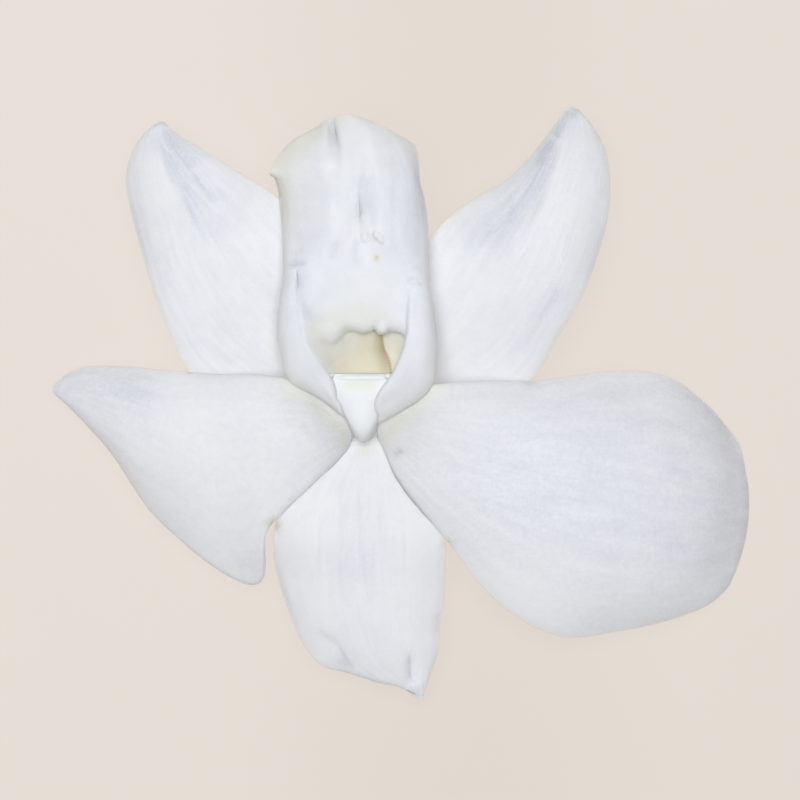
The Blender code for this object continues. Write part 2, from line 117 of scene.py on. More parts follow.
SEPAL_DORSAL = [
    [(-4.6, -3.2, 8.8), (-3.2, -3.4, 9.4), (-1.8, -3.2, 8.8)],
    [(-8.0, -6.2, 8.5), (-3.2, -6.6, 9.2), (1.0, -6.4, 8.5)],
    [(-10.9, -9.6, 7.8), (-3.4, -10.4, 8.9), (3.4, -10.0, 7.8)],
    [(-11.7, -12.8, 7.0), (-3.6, -13.6, 8.6), (4.2, -13.2, 7.1)],
    [(-11.4, -16.0, 5.3), (-3.6, -17.0, 7.9), (4.2, -16.8, 5.6)],
    [(-10.4, -19.4, 4.6), (-3.2, -20.4, 7.1), (3.9, -20.2, 5.1)],
    [(-9.0, -22.6, 4.3), (-2.2, -23.4, 6.2), (3.6, -23.4, 4.6)],
    [(-6.8, -24.8, 4.2), (-0.8, -25.4, 5.3), (2.9, -25.3, 4.3)],
    [(-1.8, -26.0, 4.1), (0.9, -26.7, 4.6), (2.4, -26.8, 4.1)],
    [(1.2, -27.3, 4.0), (1.8, -27.8, 4.1), (2.2, -27.8, 4.0)],
]
SEPAL_LATERAL_LEFT = [
    [(-5.3, -1.6, 2.4), (-5.2, 1.8, 1.1), (-5.0, 5.6, 1.9)],
    [(-8.4, -1.8, 4.0), (-7.6, 2.2, 4.8), (-6.6, 8.2, 7.4)],
    [(-14.6, -0.8, 5.8), (-11.0, 4.2, 7.8), (-6.6, 11.2, 9.8)],
    [(-19.4, 2.6, 7.0), (-14.4, 7.2, 8.8), (-7.6, 14.4, 10.6)],
    [(-21.6, 7.0, 7.6), (-17.0, 10.6, 9.1), (-9.6, 17.2, 10.2)],
    [(-23.1, 10.9, 7.1), (-18.8, 14.0, 9.0), (-12.4, 19.5, 9.0)],
    [(-24.5, 15.8, 5.8), (-20.4, 17.8, 8.3), (-15.4, 21.5, 7.7)],
    [(-25.4, 20.0, 4.9), (-21.7, 21.2, 7.4), (-18.2, 23.5, 6.5)],
    [(-24.9, 22.8, 4.8), (-22.5, 23.4, 6.4), (-20.2, 24.5, 5.8)],
    [(-23.9, 24.5, 4.9), (-22.6, 24.9, 5.6), (-21.2, 25.2, 5.3)],
    [(-22.6, 25.5, 5.1), (-22.1, 25.8, 5.2), (-21.6, 25.6, 5.1)],
]
SEPAL_LATERAL_RIGHT = [
    [(-1.1, -1.6, 2.4), (-1.2, 1.8, 1.1), (-1.4, 5.6, 1.9)],
    [(2.0, -1.8, 4.0), (1.2, 2.2, 4.8), (0.3, 7.6, 7.4)],
    [(7.6, -1.0, 5.8), (4.6, 4.0, 7.8), (0.6, 10.2, 9.8)],
    [(12.0, 1.8, 6.8), (7.8, 7.0, 8.9), (1.8, 13.4, 10.4)],
    [(14.8, 6.2, 6.8), (10.2, 10.6, 9.2), (4.2, 16.6, 9.4)],
    [(17.0, 9.9, 6.9), (12.0, 14.0, 9.1), (7.2, 19.1, 7.9)],
    [(18.5, 14.0, 6.4), (13.6, 17.4, 8.6), (9.6, 20.9, 6.0)],
    [(19.4, 18.4, 6.0), (14.8, 20.8, 7.8), (11.6, 23.0, 5.2)],
    [(19.2, 22.4, 5.4), (15.9, 23.8, 6.5), (13.4, 24.8, 4.8)],
    [(18.1, 25.0, 4.7), (16.2, 25.6, 5.5), (14.6, 25.9, 4.8)],
    [(16.6, 26.8, 4.9), (16.1, 27.1, 5.0), (15.5, 27.1, 4.9)],
]

# The lip: each row crosses it from the left margin over the left flap, the left brink
# and the left wall to the middle, and on to the right margin in the same way. The
# rows run from the claw on the column foot, up the throat, out to the tip.
LIP = [
    [(-4.5, 0.5, 4.0), (-4.6, 0.7, 3.6), (-4.6, 0.9, 3.2), (-4.2, 1.1, 2.7),
     (-3.2, 1.3, 2.5),
     (-2.2, 1.1, 2.7), (-1.8, 0.9, 3.2), (-1.8, 0.7, 3.6), (-1.9, 0.5, 4.0)],
    [(-5.3, 0.4, 6.2), (-5.5, 0.9, 5.8), (-5.6, 1.3, 5.5), (-5.0, 1.5, 5.3),
     (-3.2, 1.6, 5.2),
     (-1.4, 1.5, 5.3), (-0.8, 1.3, 5.5), (-0.8, 0.9, 5.8), (-1.0, 0.4, 6.2)],
    [(-5.9, -0.9, 9.6), (-6.0, 0.3, 9.2), (-6.1, 1.1, 8.6), (-5.4, 1.7, 8.0),
     (-3.2, 1.6, 7.8),
     (-1.0, 1.7, 8.0), (-0.4, 0.9, 9.0), (-0.7, -0.2, 9.2), (-1.1, -1.2, 9.4)],
    [(-5.0, -1.6, 12.0), (-5.4, -0.7, 12.5), (-6.0, 0.3, 12.75), (-5.5, 1.7, 11.8),
     (-3.3, 1.7, 11.1),
     (-0.9, 1.6, 11.4), (-1.9, 0.2, 12.85), (-2.25, -0.9, 12.6), (-2.1, -2.1, 12.1)],
    [(-7.7, 0.3, 12.3), (-7.7, 1.2, 13.1), (-7.1, 2.4, 13.5), (-6.0, 3.8, 12.6),
     (-3.4, 4.6, 11.8),
     (0.7, 4.2, 11.9), (-0.4, 2.4, 14.1), (0.8, 1.0, 13.5), (1.4, -0.3, 12.4)],
    [(-10.2, 1.9, 12.0), (-9.6, 3.1, 13.6), (-8.4, 4.6, 14.3), (-6.2, 5.2, 13.1),
     (-3.4, 6.5, 12.8),
     (0.9, 6.2, 12.9), (0.5, 4.4, 14.6), (1.9, 3.0, 14.3), (3.0, 1.5, 12.5)],
    [(-11.2, 5.6, 12.4), (-10.4, 6.0, 14.1), (-8.9, 6.7, 14.7), (-6.3, 6.5, 13.9),
     (-3.4, 6.4, 13.6),
     (0.2, 6.3, 13.7), (0.95, 6.2, 14.9), (2.4, 5.6, 14.6), (3.35, 4.6, 13.0)],
    [(-11.25, 6.8, 12.6), (-10.5, 7.1, 14.1), (-9.1, 7.7, 14.7), (-6.5, 7.2, 14.15),
     (-3.4, 7.0, 14.3),
     (0.2, 7.0, 14.3), (1.05, 7.4, 14.9), (2.4, 6.8, 14.6), (3.3, 5.8, 13.2)],
    [(-11.1, 9.0, 12.9), (-10.6, 9.3, 14.2), (-9.5, 9.9, 14.7), (-7.0, 9.0, 14.4),
     (-3.2, 8.9, 14.55),
     (0.2, 9.1, 14.6), (1.2, 9.8, 14.9), (2.4, 9.0, 14.5), (3.1, 8.2, 13.4)],
    [(-10.7, 11.7, 12.8), (-10.1, 11.9, 13.8), (-9.0, 12.0, 14.5), (-6.8, 12.0, 14.85),
     (-3.3, 12.0, 14.75),
     (0.0, 12.0, 14.9), (1.4, 11.8, 14.8), (2.1, 11.4, 14.4), (2.7, 11.1, 13.4)],
    [(-10.8, 15.4, 12.0), (-9.9, 15.4, 13.0), (-8.6, 15.4, 13.9), (-6.2, 15.5, 15.0),
     (-3.8, 15.6, 14.8),
     (-1.4, 15.4, 15.3), (0.6, 15.3, 15.0), (1.9, 15.2, 14.2), (2.7, 15.1, 13.0)],
    [(-11.1, 18.6, 10.2), (-10.1, 18.4, 12.4), (-8.6, 18.3, 13.6), (-6.3, 18.5, 14.7),
     (-4.2, 18.6, 14.4),
     (-1.8, 18.5, 15.2), (0.5, 18.4, 14.6), (1.6, 18.2, 13.8), (2.4, 18.0, 12.7)],
    [(-11.5, 20.3, 9.9), (-10.5, 20.2, 12.0), (-8.7, 20.2, 13.1), (-6.5, 20.4, 14.2),
     (-4.5, 20.6, 14.0),
     (-2.0, 20.4, 14.9), (0.2, 20.2, 14.3), (1.3, 20.0, 13.6), (1.9, 19.8, 12.0)],
    [(-12.0, 21.0, 11.4), (-10.7, 21.2, 11.9), (-9.0, 21.7, 12.7), (-6.9, 22.2, 13.6),
     (-5.3, 22.6, 13.4),
     (-2.6, 22.4, 14.3), (-0.4, 22.0, 13.8), (0.8, 21.8, 13.2), (1.75, 21.4, 11.9)],
    [(-10.6, 23.2, 10.9), (-9.6, 23.6, 11.4), (-8.2, 24.0, 12.0), (-6.9, 24.5, 12.6),
     (-5.9, 24.8, 12.5),
     (-3.2, 24.6, 13.3), (-1.3, 23.8, 13.2), (0.3, 23.2, 12.8), (1.6, 22.8, 11.7)],
    [(-9.3, 24.1, 10.6), (-8.4, 24.7, 11.0), (-7.4, 25.4, 11.3), (-7.0, 25.7, 11.6),
     (-6.2, 25.9, 11.7),
     (-4.6, 26.2, 12.2), (-2.2, 25.4, 12.3), (-0.4, 24.5, 12.3), (1.3, 23.5, 11.6)],
]

# The column: the dorsal and ventral points of each section as (y, z), its half width
# and how sharp its sides are. From the chin under the throat up behind the lip to the
# broad blunt end that carries the anther cap.
COLUMN_MIDDLE = -3.2
COLUMN_LEAN = -0.06  # sideways for each millimetre towards the lip, near the top
COLUMN = [
    ((5.3, 0.15), (5.3, 0.9), 1.2, 1.0),
    ((3.6, 0.0), (3.6, 1.6), 2.1, 1.0),
    ((0.8, 0.0), (1.4, 2.2), 2.4, 1.0),
    ((-1.8, 1.6), (0.2, 3.4), 2.2, 1.0),
    ((-3.4, 4.4), (-0.5, 5.4), 1.9, 1.0),
    ((-3.7, 7.4), (-0.5, 7.8), 1.5, 1.2),
    ((-3.85, 10.4), (-0.2, 9.6), 1.3, 1.4),
    ((-3.75, 11.8), (0.4, 10.6), 1.4, 1.5),
    ((-2.7, 12.9), (1.1, 11.2), 1.8, 1.4),
    ((-0.1, 13.2), (1.8, 11.7), 2.8, 1.1),
    ((1.5, 13.25), (2.2, 12.2), 3.2, 0.8),
    ((2.35, 13.15), (2.45, 12.6), 3.25, 0.9),
]

# The two teeth beside the column's end: the middle of each one, and half its width,
# depth and height
TEETH = {"left": (-6.4, 2.25, 13.1), "right": (-1.1, 2.2, 13.2)}
TOOTH_HALF = (0.36, 0.24, 0.3)

# The anther cap: the middle of its seat, and half its width, depth and height
CAP_SEAT = (-3.6, 2.02, 13.05)
CAP_HALF = (2.4, 0.34, 0.2)
POLLINIA = 4

# Tints that tissue takes on towards the throat, and as painted shade in the creases and
# corners, from none over cream to brown; the tissue's own colour is multiplied by them.
WARM_AND_SHADE_TINTS = ("FFFFFF", "FCFAEF", "F3EBD1", "CBBA99")

# The stalk: centre and radius of each section, down to its cut end on the surface
PEDICEL = [
    ((-3.2, -3.2, 5.0), 1.30),
    ((-3.2, -4.6, 4.3), 1.15),
    ((-3.3, -6.8, 3.5), 1.20),
    ((-3.6, -9.4, 2.4), 1.10),
    ((-4.0, -12.4, 1.4), 1.05),
    ((-4.6, -15.2, 1.10), 1.12),
]


def linear(code):
    """Linear light values of an sRGB colour written as six hex digits."""
    parts = [int(code[k:k + 2], 16) / 255.0 for k in (0, 2, 4)]
    return [c / 12.92 if c <= 0.04045 else ((c + 0.055) / 1.055) ** 2.4 for c in parts]


def drawn(length):
    """Drawn millimetres for a length in metres."""
    return length / UNIT


def smooth_weights(count, places):
    """Weights that read a smooth curve through `count` points at places from 0 to 1.
    Each stretch is a cubic that passes its two points in the direction of their
    neighbours, and past either end the curve's points go on in a straight line."""
    weights = np.zeros((len(places), count))
    for row, place in enumerate(np.asarray(places) * (count - 1.0)):
        first = min(int(place), count - 2)
        t = place - first
        pulls = (
            -0.5 * t + t**2 - 0.5 * t**3,
            1.0 - 2.5 * t**2 + 1.5 * t**3,
            0.5 * t + 2.0 * t**2 - 1.5 * t**3,
            -0.5 * t**2 + 0.5 * t**3,
        )
        for index, pull in zip(range(first - 1, first + 3), pulls):
            if index < 0:
                weights[row, 0] += 2.0 * pull
                weights[row, 1] -= pull
            elif index > count - 1:
                weights[row, -1] += 2.0 * pull
                weights[row, -2] -= pull
            else:
                weights[row, index] += pull
    return weights


def close_at_both_ends(steps, closeness=0.88):
    """Places from 0 to 1 that crowd together at both ends, for rounded margins."""
    t = np.linspace(0.0, 1.0, steps + 1)
    return t - closeness * np.sin(2.0 * math.pi * t) / (2.0 * math.pi)


def crowd(steps, spots):
    """Places from 0 to 1, closer together near each spot (place, width, strength)."""
    t = np.linspace(0.0, 1.0, 2001)
    density = np.ones_like(t)
    for place, width, strength in spots:
        density += strength * np.exp(-(((t - place) / width) ** 2))
    share = np.concatenate([[0.0], np.cumsum(density[1:] + density[:-1])])
    return np.interp(np.linspace(0.0, share[-1], steps + 1), share, t)


def blade_grid(rows, crown, along, across):
    """A blade arched between its margins; a higher crown keeps the middle flatter."""
    rows = np.array(rows)
    weights = smooth_weights(len(rows), close_at_both_ends(along))
    left, rib, right = (weights @ rows[:, k] for k in range(3))
    v = (2.0 * close_at_both_ends(across) - 1.0)[None, :, None]
    tilt = (right - left)[:, None, :] / 2.0
    sag = ((right + left) / 2.0 - rib)[:, None, :]
    bow = np.concatenate([v**2, v**2, np.abs(v) ** crown], axis=2)
    return rib[:, None, :] + tilt * v + sag * bow


def net_grid(rows, u, v):
    """A smooth sheet through a net of points, read at the places u and v."""
    rows = np.array(rows)
    down = smooth_weights(rows.shape[0], u)
    over = smooth_weights(rows.shape[1], v)
    return np.einsum("ai,bj,ijk->abk", down, over, rows)


def curl_under(grid, radii, end, steps):
    """Rolls the first margin of a blade on round and back beneath it."""
    radii = smooth_weights(len(radii), close_at_both_ends(len(grid) - 1)) @ np.array(radii)
    radii = np.maximum(radii, SMALLEST_ROLL)[:, None]
    edge, a_little_in = grid[:, 0, :], grid[:, 4, :]
    outward = edge - a_little_in
    outward /= np.linalg.norm(outward, axis=1)[:, None]
    beneath = -face_up(grid)[:, 0, :]
    lines = []
    for turn in np.linspace(end, 0.0, steps, endpoint=False):
        lines.append(
            edge + radii * (math.sin(turn) * outward + (1.0 - math.cos(turn)) * beneath)
        )
    return np.concatenate([np.stack(lines, axis=1), grid], axis=1)


def face_up(grid):
    """Unit normals of a sheet, on its upper or inner side."""
    du = np.gradient(grid, axis=0)
    dv = np.gradient(grid, axis=1)
    normals = np.cross(dv, du)
    normals /= np.maximum(np.linalg.norm(normals, axis=2), 1e-9)[:, :, None]
    return normals if normals[:, :, 2].mean() > 0.0 else -normals


def grain(x, y, size, seed):
    """Smooth seeded unevenness from -1 to 1, in lumps about `size` across."""
    cells = 64
    table = np.random.default_rng(seed).uniform(-1.0, 1.0, (cells, cells))
    gx, gy = x / size, y / size
    ix, iy = np.floor(gx).astype(int), np.floor(gy).astype(int)
    fx, fy = gx - ix, gy - iy
    fx, fy = fx * fx * (3.0 - 2.0 * fx), fy * fy * (3.0 - 2.0 * fy)
    corners = [[table[(ix + a) % cells, (iy + b) % cells] for b in (0, 1)] for a in (0, 1)]
    near = corners[0][0] * (1.0 - fy) + corners[0][1] * fy
    far = corners[1][0] * (1.0 - fy) + corners[1][1] * fy
    return near * (1.0 - fx) + far * fx


def unevenness(x, y, layers):
    """Layers of grain, each given as its height, the size of its lumps and its seed."""
    return sum(height * grain(x, y, size, seed) for height, size, seed in layers)


def beside_line(x, y, line):
    """Signed plan distance from a smooth line (left of it is positive) and the place
    along it, from 0 to 1, of the nearest point."""
    path = smooth_weights(len(line), np.linspace(0.0, 1.0, 8 * len(line))) @ np.array(line)
    best = np.full(x.shape, 1e9)
    side = np.zeros(x.shape)
    place = np.zeros(x.shape)
    steps = len(path) - 1
    for k in range(steps):
        (ax, ay), (bx, by) = path[k], path[k + 1]
        dx, dy = bx - ax, by - ay
        t = np.clip(((x - ax) * dx + (y - ay) * dy) / (dx * dx + dy * dy), 0.0, 1.0)
        distance = np.hypot(x - ax - t * dx, y - ay - t * dy)
        nearer = distance < best
        best = np.where(nearer, distance, best)
        side = np.where(nearer, np.sign(dx * (y - ay) - dy * (x - ax)), side)
        place = np.where(nearer, (k + t) / steps, place)
    return best * side, place


def run_out(place, fade):
    """1 along a line, and down to 0 over the `fade` share of it at each end."""
    return ramp(np.minimum(place, 1.0 - place), 0.0, fade) if fade > 0.0 else 1.0


def fold(x, y, line, depth, left, right, fade=0.25):
    """A groove along a line: it falls away over `left` and `right` on its two sides
    and runs out over the `fade` share of its length at each end."""
    distance, place = beside_line(x, y, line)
    width = np.where(distance > 0.0, left, right)
    return -depth * run_out(place, fade) * np.exp(-((np.abs(distance) / width) ** 1.6))


def marks(x, y, folds):
    """All the marks of a list along lines: each is a line, a strength, a reach to the
    left and to the right, and at times a fade. The result is positive."""
    return -sum(fold(x, y, *mark) for mark in folds)


def flank(x, y, line, depth, reach, fade=0.25):
    """Drops away from a crest along a line, over `reach`: on its left when that is
    positive and on its right when it is negative."""
    distance, place = beside_line(x, y, line)
    away = np.maximum(distance * math.copysign(1.0, reach), 0.0) / abs(reach)
    drop = (1.0 - np.exp(-away)) * np.exp(-((away / 4.0) ** 2))
    return -depth * run_out(place, fade) * drop


def dot(x, y, centre, size):
    """1 at a place, falling away over `size`."""
    return np.exp(-((x - centre[0]) ** 2 + (y - centre[1]) ** 2) / size**2)


def ramp(values, start, end):
    """Rises smoothly from 0 at `start` to 1 at `end`."""
    t = np.clip((values - start) / (end - start), 0.0, 1.0)
    return t * t * (3.0 - 2.0 * t)


def edge_distance(grid):
    """Distance over the sheet from each point to the nearest margin."""
    across = np.linalg.norm(np.diff(grid, axis=1), axis=2)
    along = np.linalg.norm(np.diff(grid, axis=0), axis=2)
    zero_column = np.zeros((grid.shape[0], 1))
    zero_row = np.zeros((1, grid.shape[1]))
    from_left = np.concatenate([zero_column, np.cumsum(across, axis=1)], axis=1)
    from_base = np.concatenate([zero_row, np.cumsum(along, axis=0)], axis=0)
    from_right = from_left[:, -1:] - from_left
    from_tip = from_base[-1:, :] - from_base
    return np.minimum(np.minimum(from_left, from_right), np.minimum(from_base, from_tip))


def add_mesh(name, points, faces, material, coordinates=None, masks=None):
    """A smooth-shaded object from drawn points, with flat coordinates and masks."""
    mesh = bpy.data.meshes.new(name)
    mesh.from_pydata((points * UNIT + ORIGIN).tolist(), [], faces)
    mesh.materials.append(material)
    mesh.update()
    mesh.shade_smooth()
    if coordinates is not None:
        corners = np.zeros(len(mesh.loops), dtype=int)
        mesh.loops.foreach_get("vertex_index", corners)
        layer = mesh.uv_layers.new(name="blade")
        layer.data.foreach_set("uv", coordinates[corners].ravel())
    for mask, values in (masks or {}).items():
        mesh.attributes.new(mask, "FLOAT", "POINT").data.foreach_set("value", values)
    thing = bpy.data.objects.new(name, mesh)
    bpy.context.collection.objects.link(thing)
    return thing


def skin_parts(grid, thickness, rounding, flat, masks):
    """Points, faces, coordinates and masks of a closed skin round a sheet.

    The sheet is the middle of the skin, which thins smoothly to nothing over the last
    `rounding` before every margin."""
    rows, columns = grid.shape[:2]
    inside = np.clip(edge_distance(grid) / rounding, 0.0, 1.0)
    half = thickness / 2.0 * inside * (2.0 - inside)
    offset = face_up(grid) * half[:, :, None]
    points = np.concatenate([(grid + offset).reshape(-1, 3), (grid - offset).reshape(-1, 3)])
    points[:, 2] = np.maximum(points[:, 2], FLOOR_GAP)
    top = np.arange(rows * columns).reshape(rows, columns)
    under = top + rows * columns
    for rim in (np.s_[0, :], np.s_[-1, :], np.s_[:, 0], np.s_[:, -1]):
        under[rim] = top[rim]
    quads = []
    for index in (top, under[:, ::-1]):
        quads.append(np.stack(
            [index[:-1, :-1], index[:-1, 1:], index[1:, 1:], index[1:, :-1]], axis=2
        ).reshape(-1, 4))
    faces = np.concatenate(quads)
    used, faces = np.unique(faces, return_inverse=True)
    faces = faces.reshape(-1, 4)
    double = {key: np.tile(np.broadcast_to(v, (rows, columns)).ravel(), 2)[used]
              for key, v in masks.items()}
    flat = np.tile(flat.reshape(-1, 2), (2, 1))[used]
    return points[used], faces, flat, double


def point_outwards(points, faces):
    """Turns all faces round when they enclose a negative volume."""
    a, b, c, d = (points[faces[:, k]] for k in range(4))
    volume = np.einsum("ij,ij->i", a, np.cross(b, c)).sum()
    volume += np.einsum("ij,ij->i", a, np.cross(c, d)).sum()
    return faces[:, ::-1] if volume < 0.0 else faces


def with_nub(grid, thickness, swell, reach):
    """Thickness over a sheet that swells into a small hard nub at its tip."""
    tip = grid[-1].mean(axis=0)
    return thickness + swell * np.exp(-((np.linalg.norm(grid - tip, axis=2) / reach) ** 2))


def add_skin(name, grid, thickness, rounding, flat, masks, material):
    """A closed skin round a sheet, as one object."""
    points, faces, flat, masks = skin_parts(grid, thickness, rounding, flat, masks)
    faces = point_outwards(points, faces).tolist()
    return add_mesh(name, points, faces, material, flat, masks)


def add_node(tree, kind, settings=None, inputs=None):
    """Adds a node, sets its settings, and sets or links each of its inputs."""
    node = tree.nodes.new(kind)
    for key, value in (settings or {}).items():
        setattr(node, key, value)
    for key, value in (inputs or {}).items():
        if isinstance(value, bpy.types.NodeSocket):
            tree.links.new(value, node.inputs[key])
        else:
            node.inputs[key].default_value = value
    return node


def begin_material(name, **shader):
    """A material whose one shader has these constant values on its own sockets."""
    material = bpy.data.materials.new(name)
    material.use_nodes = True
    tree = material.node_tree
    principled = tree.nodes["Principled BSDF"]
    for key, value in shader.items():
        principled.inputs[key.replace("_", " ")].default_value = value
    return material, tree, principled


def colour_ramp(tree, fac, colours):
    """Evenly spaced colours read by a factor from 0 to 1."""
    node = add_node(tree, "ShaderNodeValToRGB", None, {"Fac": fac})
    elements = node.color_ramp.elements
    elements[0].position, elements[0].color = 0.0, (*colours[0], 1.0)
    elements[1].position, elements[1].color = 1.0, (*colours[-1], 1.0)
    for k, tone in enumerate(colours[1:-1], start=1):
        elements.new(k / (len(colours) - 1.0)).color = (*tone, 1.0)
    return node.outputs["Color"]


def tinted(tree, colour):
    """The colour of a tissue, multiplied by the tint for its mask "warm", which holds the tissue's
    own cream and also painted shade.
    """
    warm = add_node(tree, "ShaderNodeAttribute", {"attribute_name": "warm"}).outputs["Fac"]
    tint = colour_ramp(tree, warm, [linear(code) for code in WARM_AND_SHADE_TINTS])
    return add_node(
        tree, "ShaderNodeMix", {"data_type": "RGBA", "blend_type": "MULTIPLY"},
        {0: 1.0, 6: colour, 7: tint},
    ).outputs[2]


def tissue_material(name, white, colours, vein_size, vein_strength, patch_size=1.6, mottle=0.1):
    """Preserved petal tissue: dried and glycerined in its own shape, so its skin is
    matt and faintly waxy, and light sinks a little way into it. The blade's own masks
    say where it is denser and where shade is painted on it ("dense_and_shade"), where
    light is painted on it beside the side lobes ("painted_light"), and where it turns
    cream to brown, partly its own colour and partly painted shade ("warm"). Sizes are in millimetres."""
    material, tree, shader = begin_material(
        name, Roughness=0.55, IOR=1.42, Subsurface_Weight=0.8, Subsurface_Scale=0.0005,
        Subsurface_Radius=(1.0, 1.0, 1.0), Sheen_Weight=0.18, Sheen_Roughness=0.4,
    )
    place = add_node(tree, "ShaderNodeTexCoord").outputs["Object"]
    flat = add_node(tree, "ShaderNodeUVMap", {"uv_map": "blade"}).outputs["UV"]
    dense_and_shade = add_node(tree, "ShaderNodeAttribute", {"attribute_name": "dense_and_shade"}).outputs["Fac"]
    painted_light = add_node(tree, "ShaderNodeAttribute", {"attribute_name": "painted_light"}).outputs["Fac"]
    # Cells of the skin are about 0.04 mm; drawn 0.3 mm across, or they wouldn't show.
    cells = add_node(tree, "ShaderNodeTexNoise", None, {
        "Vector": place, "Scale": 1.0 / (0.3 * MILLIMETRE), "Detail": 3.0, "Roughness": 0.65,
    }).outputs["Fac"]
    # Veins run along the blade, so their lumps are 6 mm long and narrow.
    stretched = add_node(tree, "ShaderNodeMapping", None, {
        "Vector": flat, "Scale": (1.0 / 6.0, 1.0 / vein_size, 1.0),
    }).outputs["Vector"]
    veins = add_node(tree, "ShaderNodeTexNoise", None, {
        "Vector": stretched, "Scale": 1.0, "Detail": 2.0, "Roughness": 0.55,
    }).outputs["Fac"]
    # Patches of slightly denser tissue
    patches = add_node(tree, "ShaderNodeTexNoise", None, {
        "Vector": place, "Scale": 1.0 / (patch_size * MILLIMETRE), "Detail": 4.0,
        "Roughness": 0.65,
    }).outputs["Fac"]
    broad = add_node(tree, "ShaderNodeMath", {"operation": "MULTIPLY_ADD"}, {
        0: veins, 1: 0.5, 2: patches,
    }).outputs[0]
    soft = add_node(tree, "ShaderNodeMapRange", None, {
        "Value": broad, "From Min": 0.55, "From Max": 0.95,
        "To Min": -0.4 * mottle, "To Max": mottle,
    }).outputs[0]
    # Where the mask of density and painted shade is high, cells and veins show as grains and streaks.
    grains = add_node(tree, "ShaderNodeMath", {"operation": "ADD"}, {
        0: cells, 1: veins,
    }).outputs[0]
    speckle = add_node(tree, "ShaderNodeMapRange", {"clamp": False}, {
        "Value": grains, "From Min": 0.7, "From Max": 1.3, "To Min": 0.6, "To Max": 1.4,
    }).outputs[0]
    depth = add_node(tree, "ShaderNodeMath", {"operation": "MULTIPLY_ADD", "use_clamp": True}, {
        0: dense_and_shade, 1: speckle, 2: soft,
    }).outputs[0]
    colour = add_node(tree, "ShaderNodeMix", {"data_type": "RGBA"}, {
        0: painted_light, 6: colour_ramp(tree, depth, (white, colours.tissue_dense_and_shade)),
        7: (*colours.tissue_painted_light, 1.0),
    }).outputs[2]
    tree.links.new(tinted(tree, colour), shader.inputs["Base Color"])
    height = add_node(tree, "ShaderNodeMath", {"operation": "MULTIPLY_ADD"}, {
        0: veins, 1: vein_strength, 2: cells,
    }).outputs[0]
    bump = add_node(tree, "ShaderNodeBump", None, {
        "Strength": 0.5, "Distance": 0.06 * MILLIMETRE, "Height": height,
    }).outputs["Normal"]
    tree.links.new(bump, shader.inputs["Normal"])
    return material


def finish_piece(thing, slot, *nodes):
    """Rides on the flower's one body and stands for its frame nodes. Its slot is not used."""
    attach(thing, "root")
    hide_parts(*nodes)


class OrchidSizes(bpy.types.PropertyGroup):
    tepal_thickness: bpy.props.FloatProperty(
        name="Tepal thickness", description="Thickness of petals and sepals at mid blade",
        default=0.26 * UNIT, min=0.2 * UNIT, max=1.0 * UNIT, precision=5, unit="LENGTH",
    )
    lip_thickness: bpy.props.FloatProperty(
        name="Lip thickness", description="Thickness of the lip",
        default=0.34 * UNIT, min=0.2 * UNIT, max=1.0 * UNIT, precision=5, unit="LENGTH",
    )
    margin_rounding: bpy.props.FloatProperty(
        name="Margin rounding", description="How far from a margin the blade starts to thin",
        default=1.2 * UNIT, min=0.05 * UNIT, max=2.0 * UNIT, precision=5, unit="LENGTH",
    )
    vein_depth: bpy.props.FloatProperty(
        name="Vein depth", description="Depth of the veins' grooves",
        default=0.03 * UNIT, min=0.0, max=0.2 * UNIT, precision=5, unit="LENGTH",
    )


class OrchidColours(bpy.types.PropertyGroup):
    tissue: bpy.props.FloatVectorProperty(
        name="Tissue", description="White of the petals and sepals", subtype="COLOR",
        default=linear("EAEDF4"),
    )
    lip_tissue: bpy.props.FloatVectorProperty(
        name="Lip tissue", description="White of the lip", subtype="COLOR",
        default=linear("E9ECF2"),
    )
    tissue_dense_and_shade: bpy.props.FloatVectorProperty(
        name="Dense tissue", description="Shade of the denser patches", subtype="COLOR",
        default=linear("CCD0DA"),
    )
    tissue_painted_light: bpy.props.FloatVectorProperty(
        name="Thin tissue", description="White where light comes through", subtype="COLOR",
        default=linear("F3F7FC"),
    )
    column: bpy.props.FloatVectorProperty(
        name="Column", description="White of the column", subtype="COLOR",
        default=linear("EFF2F6"),
    )
    cap: bpy.props.FloatVectorProperty(
        name="Anther cap", description="Faint cream of the anther cap", subtype="COLOR",
        default=linear("EFF1F2"),
    )
    stalk: bpy.props.FloatVectorProperty(
        name="Stalk", description="Pale green of the stalk", subtype="COLOR",
        default=linear("D9DCC4"),
    )
    pollen: bpy.props.FloatVectorProperty(
        name="Pollen", description="Wax yellow of the pollen masses", subtype="COLOR",
        default=linear("E6D894"),
    )


class OrchidStage(bpy.types.PropertyGroup):
    floor: bpy.props.FloatVectorProperty(
        name="Floor", description="Pale warm paper", subtype="COLOR",
        default=linear("E4DCD4"),
    )
    floor_reach: bpy.props.FloatProperty(
        name="Floor reach", description="From the middle of the sheet to its edges",
        default=1.5, min=0.2, max=10.0, unit="LENGTH",
    )
    key_light: bpy.props.FloatProperty(
        name="Key light", description="Share of the light from the soft lamp overhead",
        default=0.78, min=0.0, max=2.0, subtype="FACTOR",
    )
    fill_light: bpy.props.FloatProperty(
        name="Fill light", description="Share of the light from all round",
        default=0.24, min=0.0, max=2.0, subtype="FACTOR",
    )
    lamp_distance: bpy.props.FloatProperty(
        name="Lamp distance", description="From the flower to the lamp",
        default=1.0, min=0.2, max=5.0, unit="LENGTH",
    )
    lamp_size: bpy.props.FloatProperty(
        name="Lamp size", description="Width of the round lamp; a wider one is softer",
        default=0.6, min=0.05, max=5.0, unit="LENGTH",
    )
    lamp_lean: bpy.props.FloatProperty(
        name="Lamp lean", description="How far the lamp leans from straight overhead",
        default=math.radians(5.0), min=0.0, max=math.radians(80.0), unit="ROTATION",
    )
    camera_height: bpy.props.FloatProperty(
        name="Camera height", description="Height of the camera over the surface",
        default=0.8, min=0.2, max=3.0, unit="LENGTH",
    )


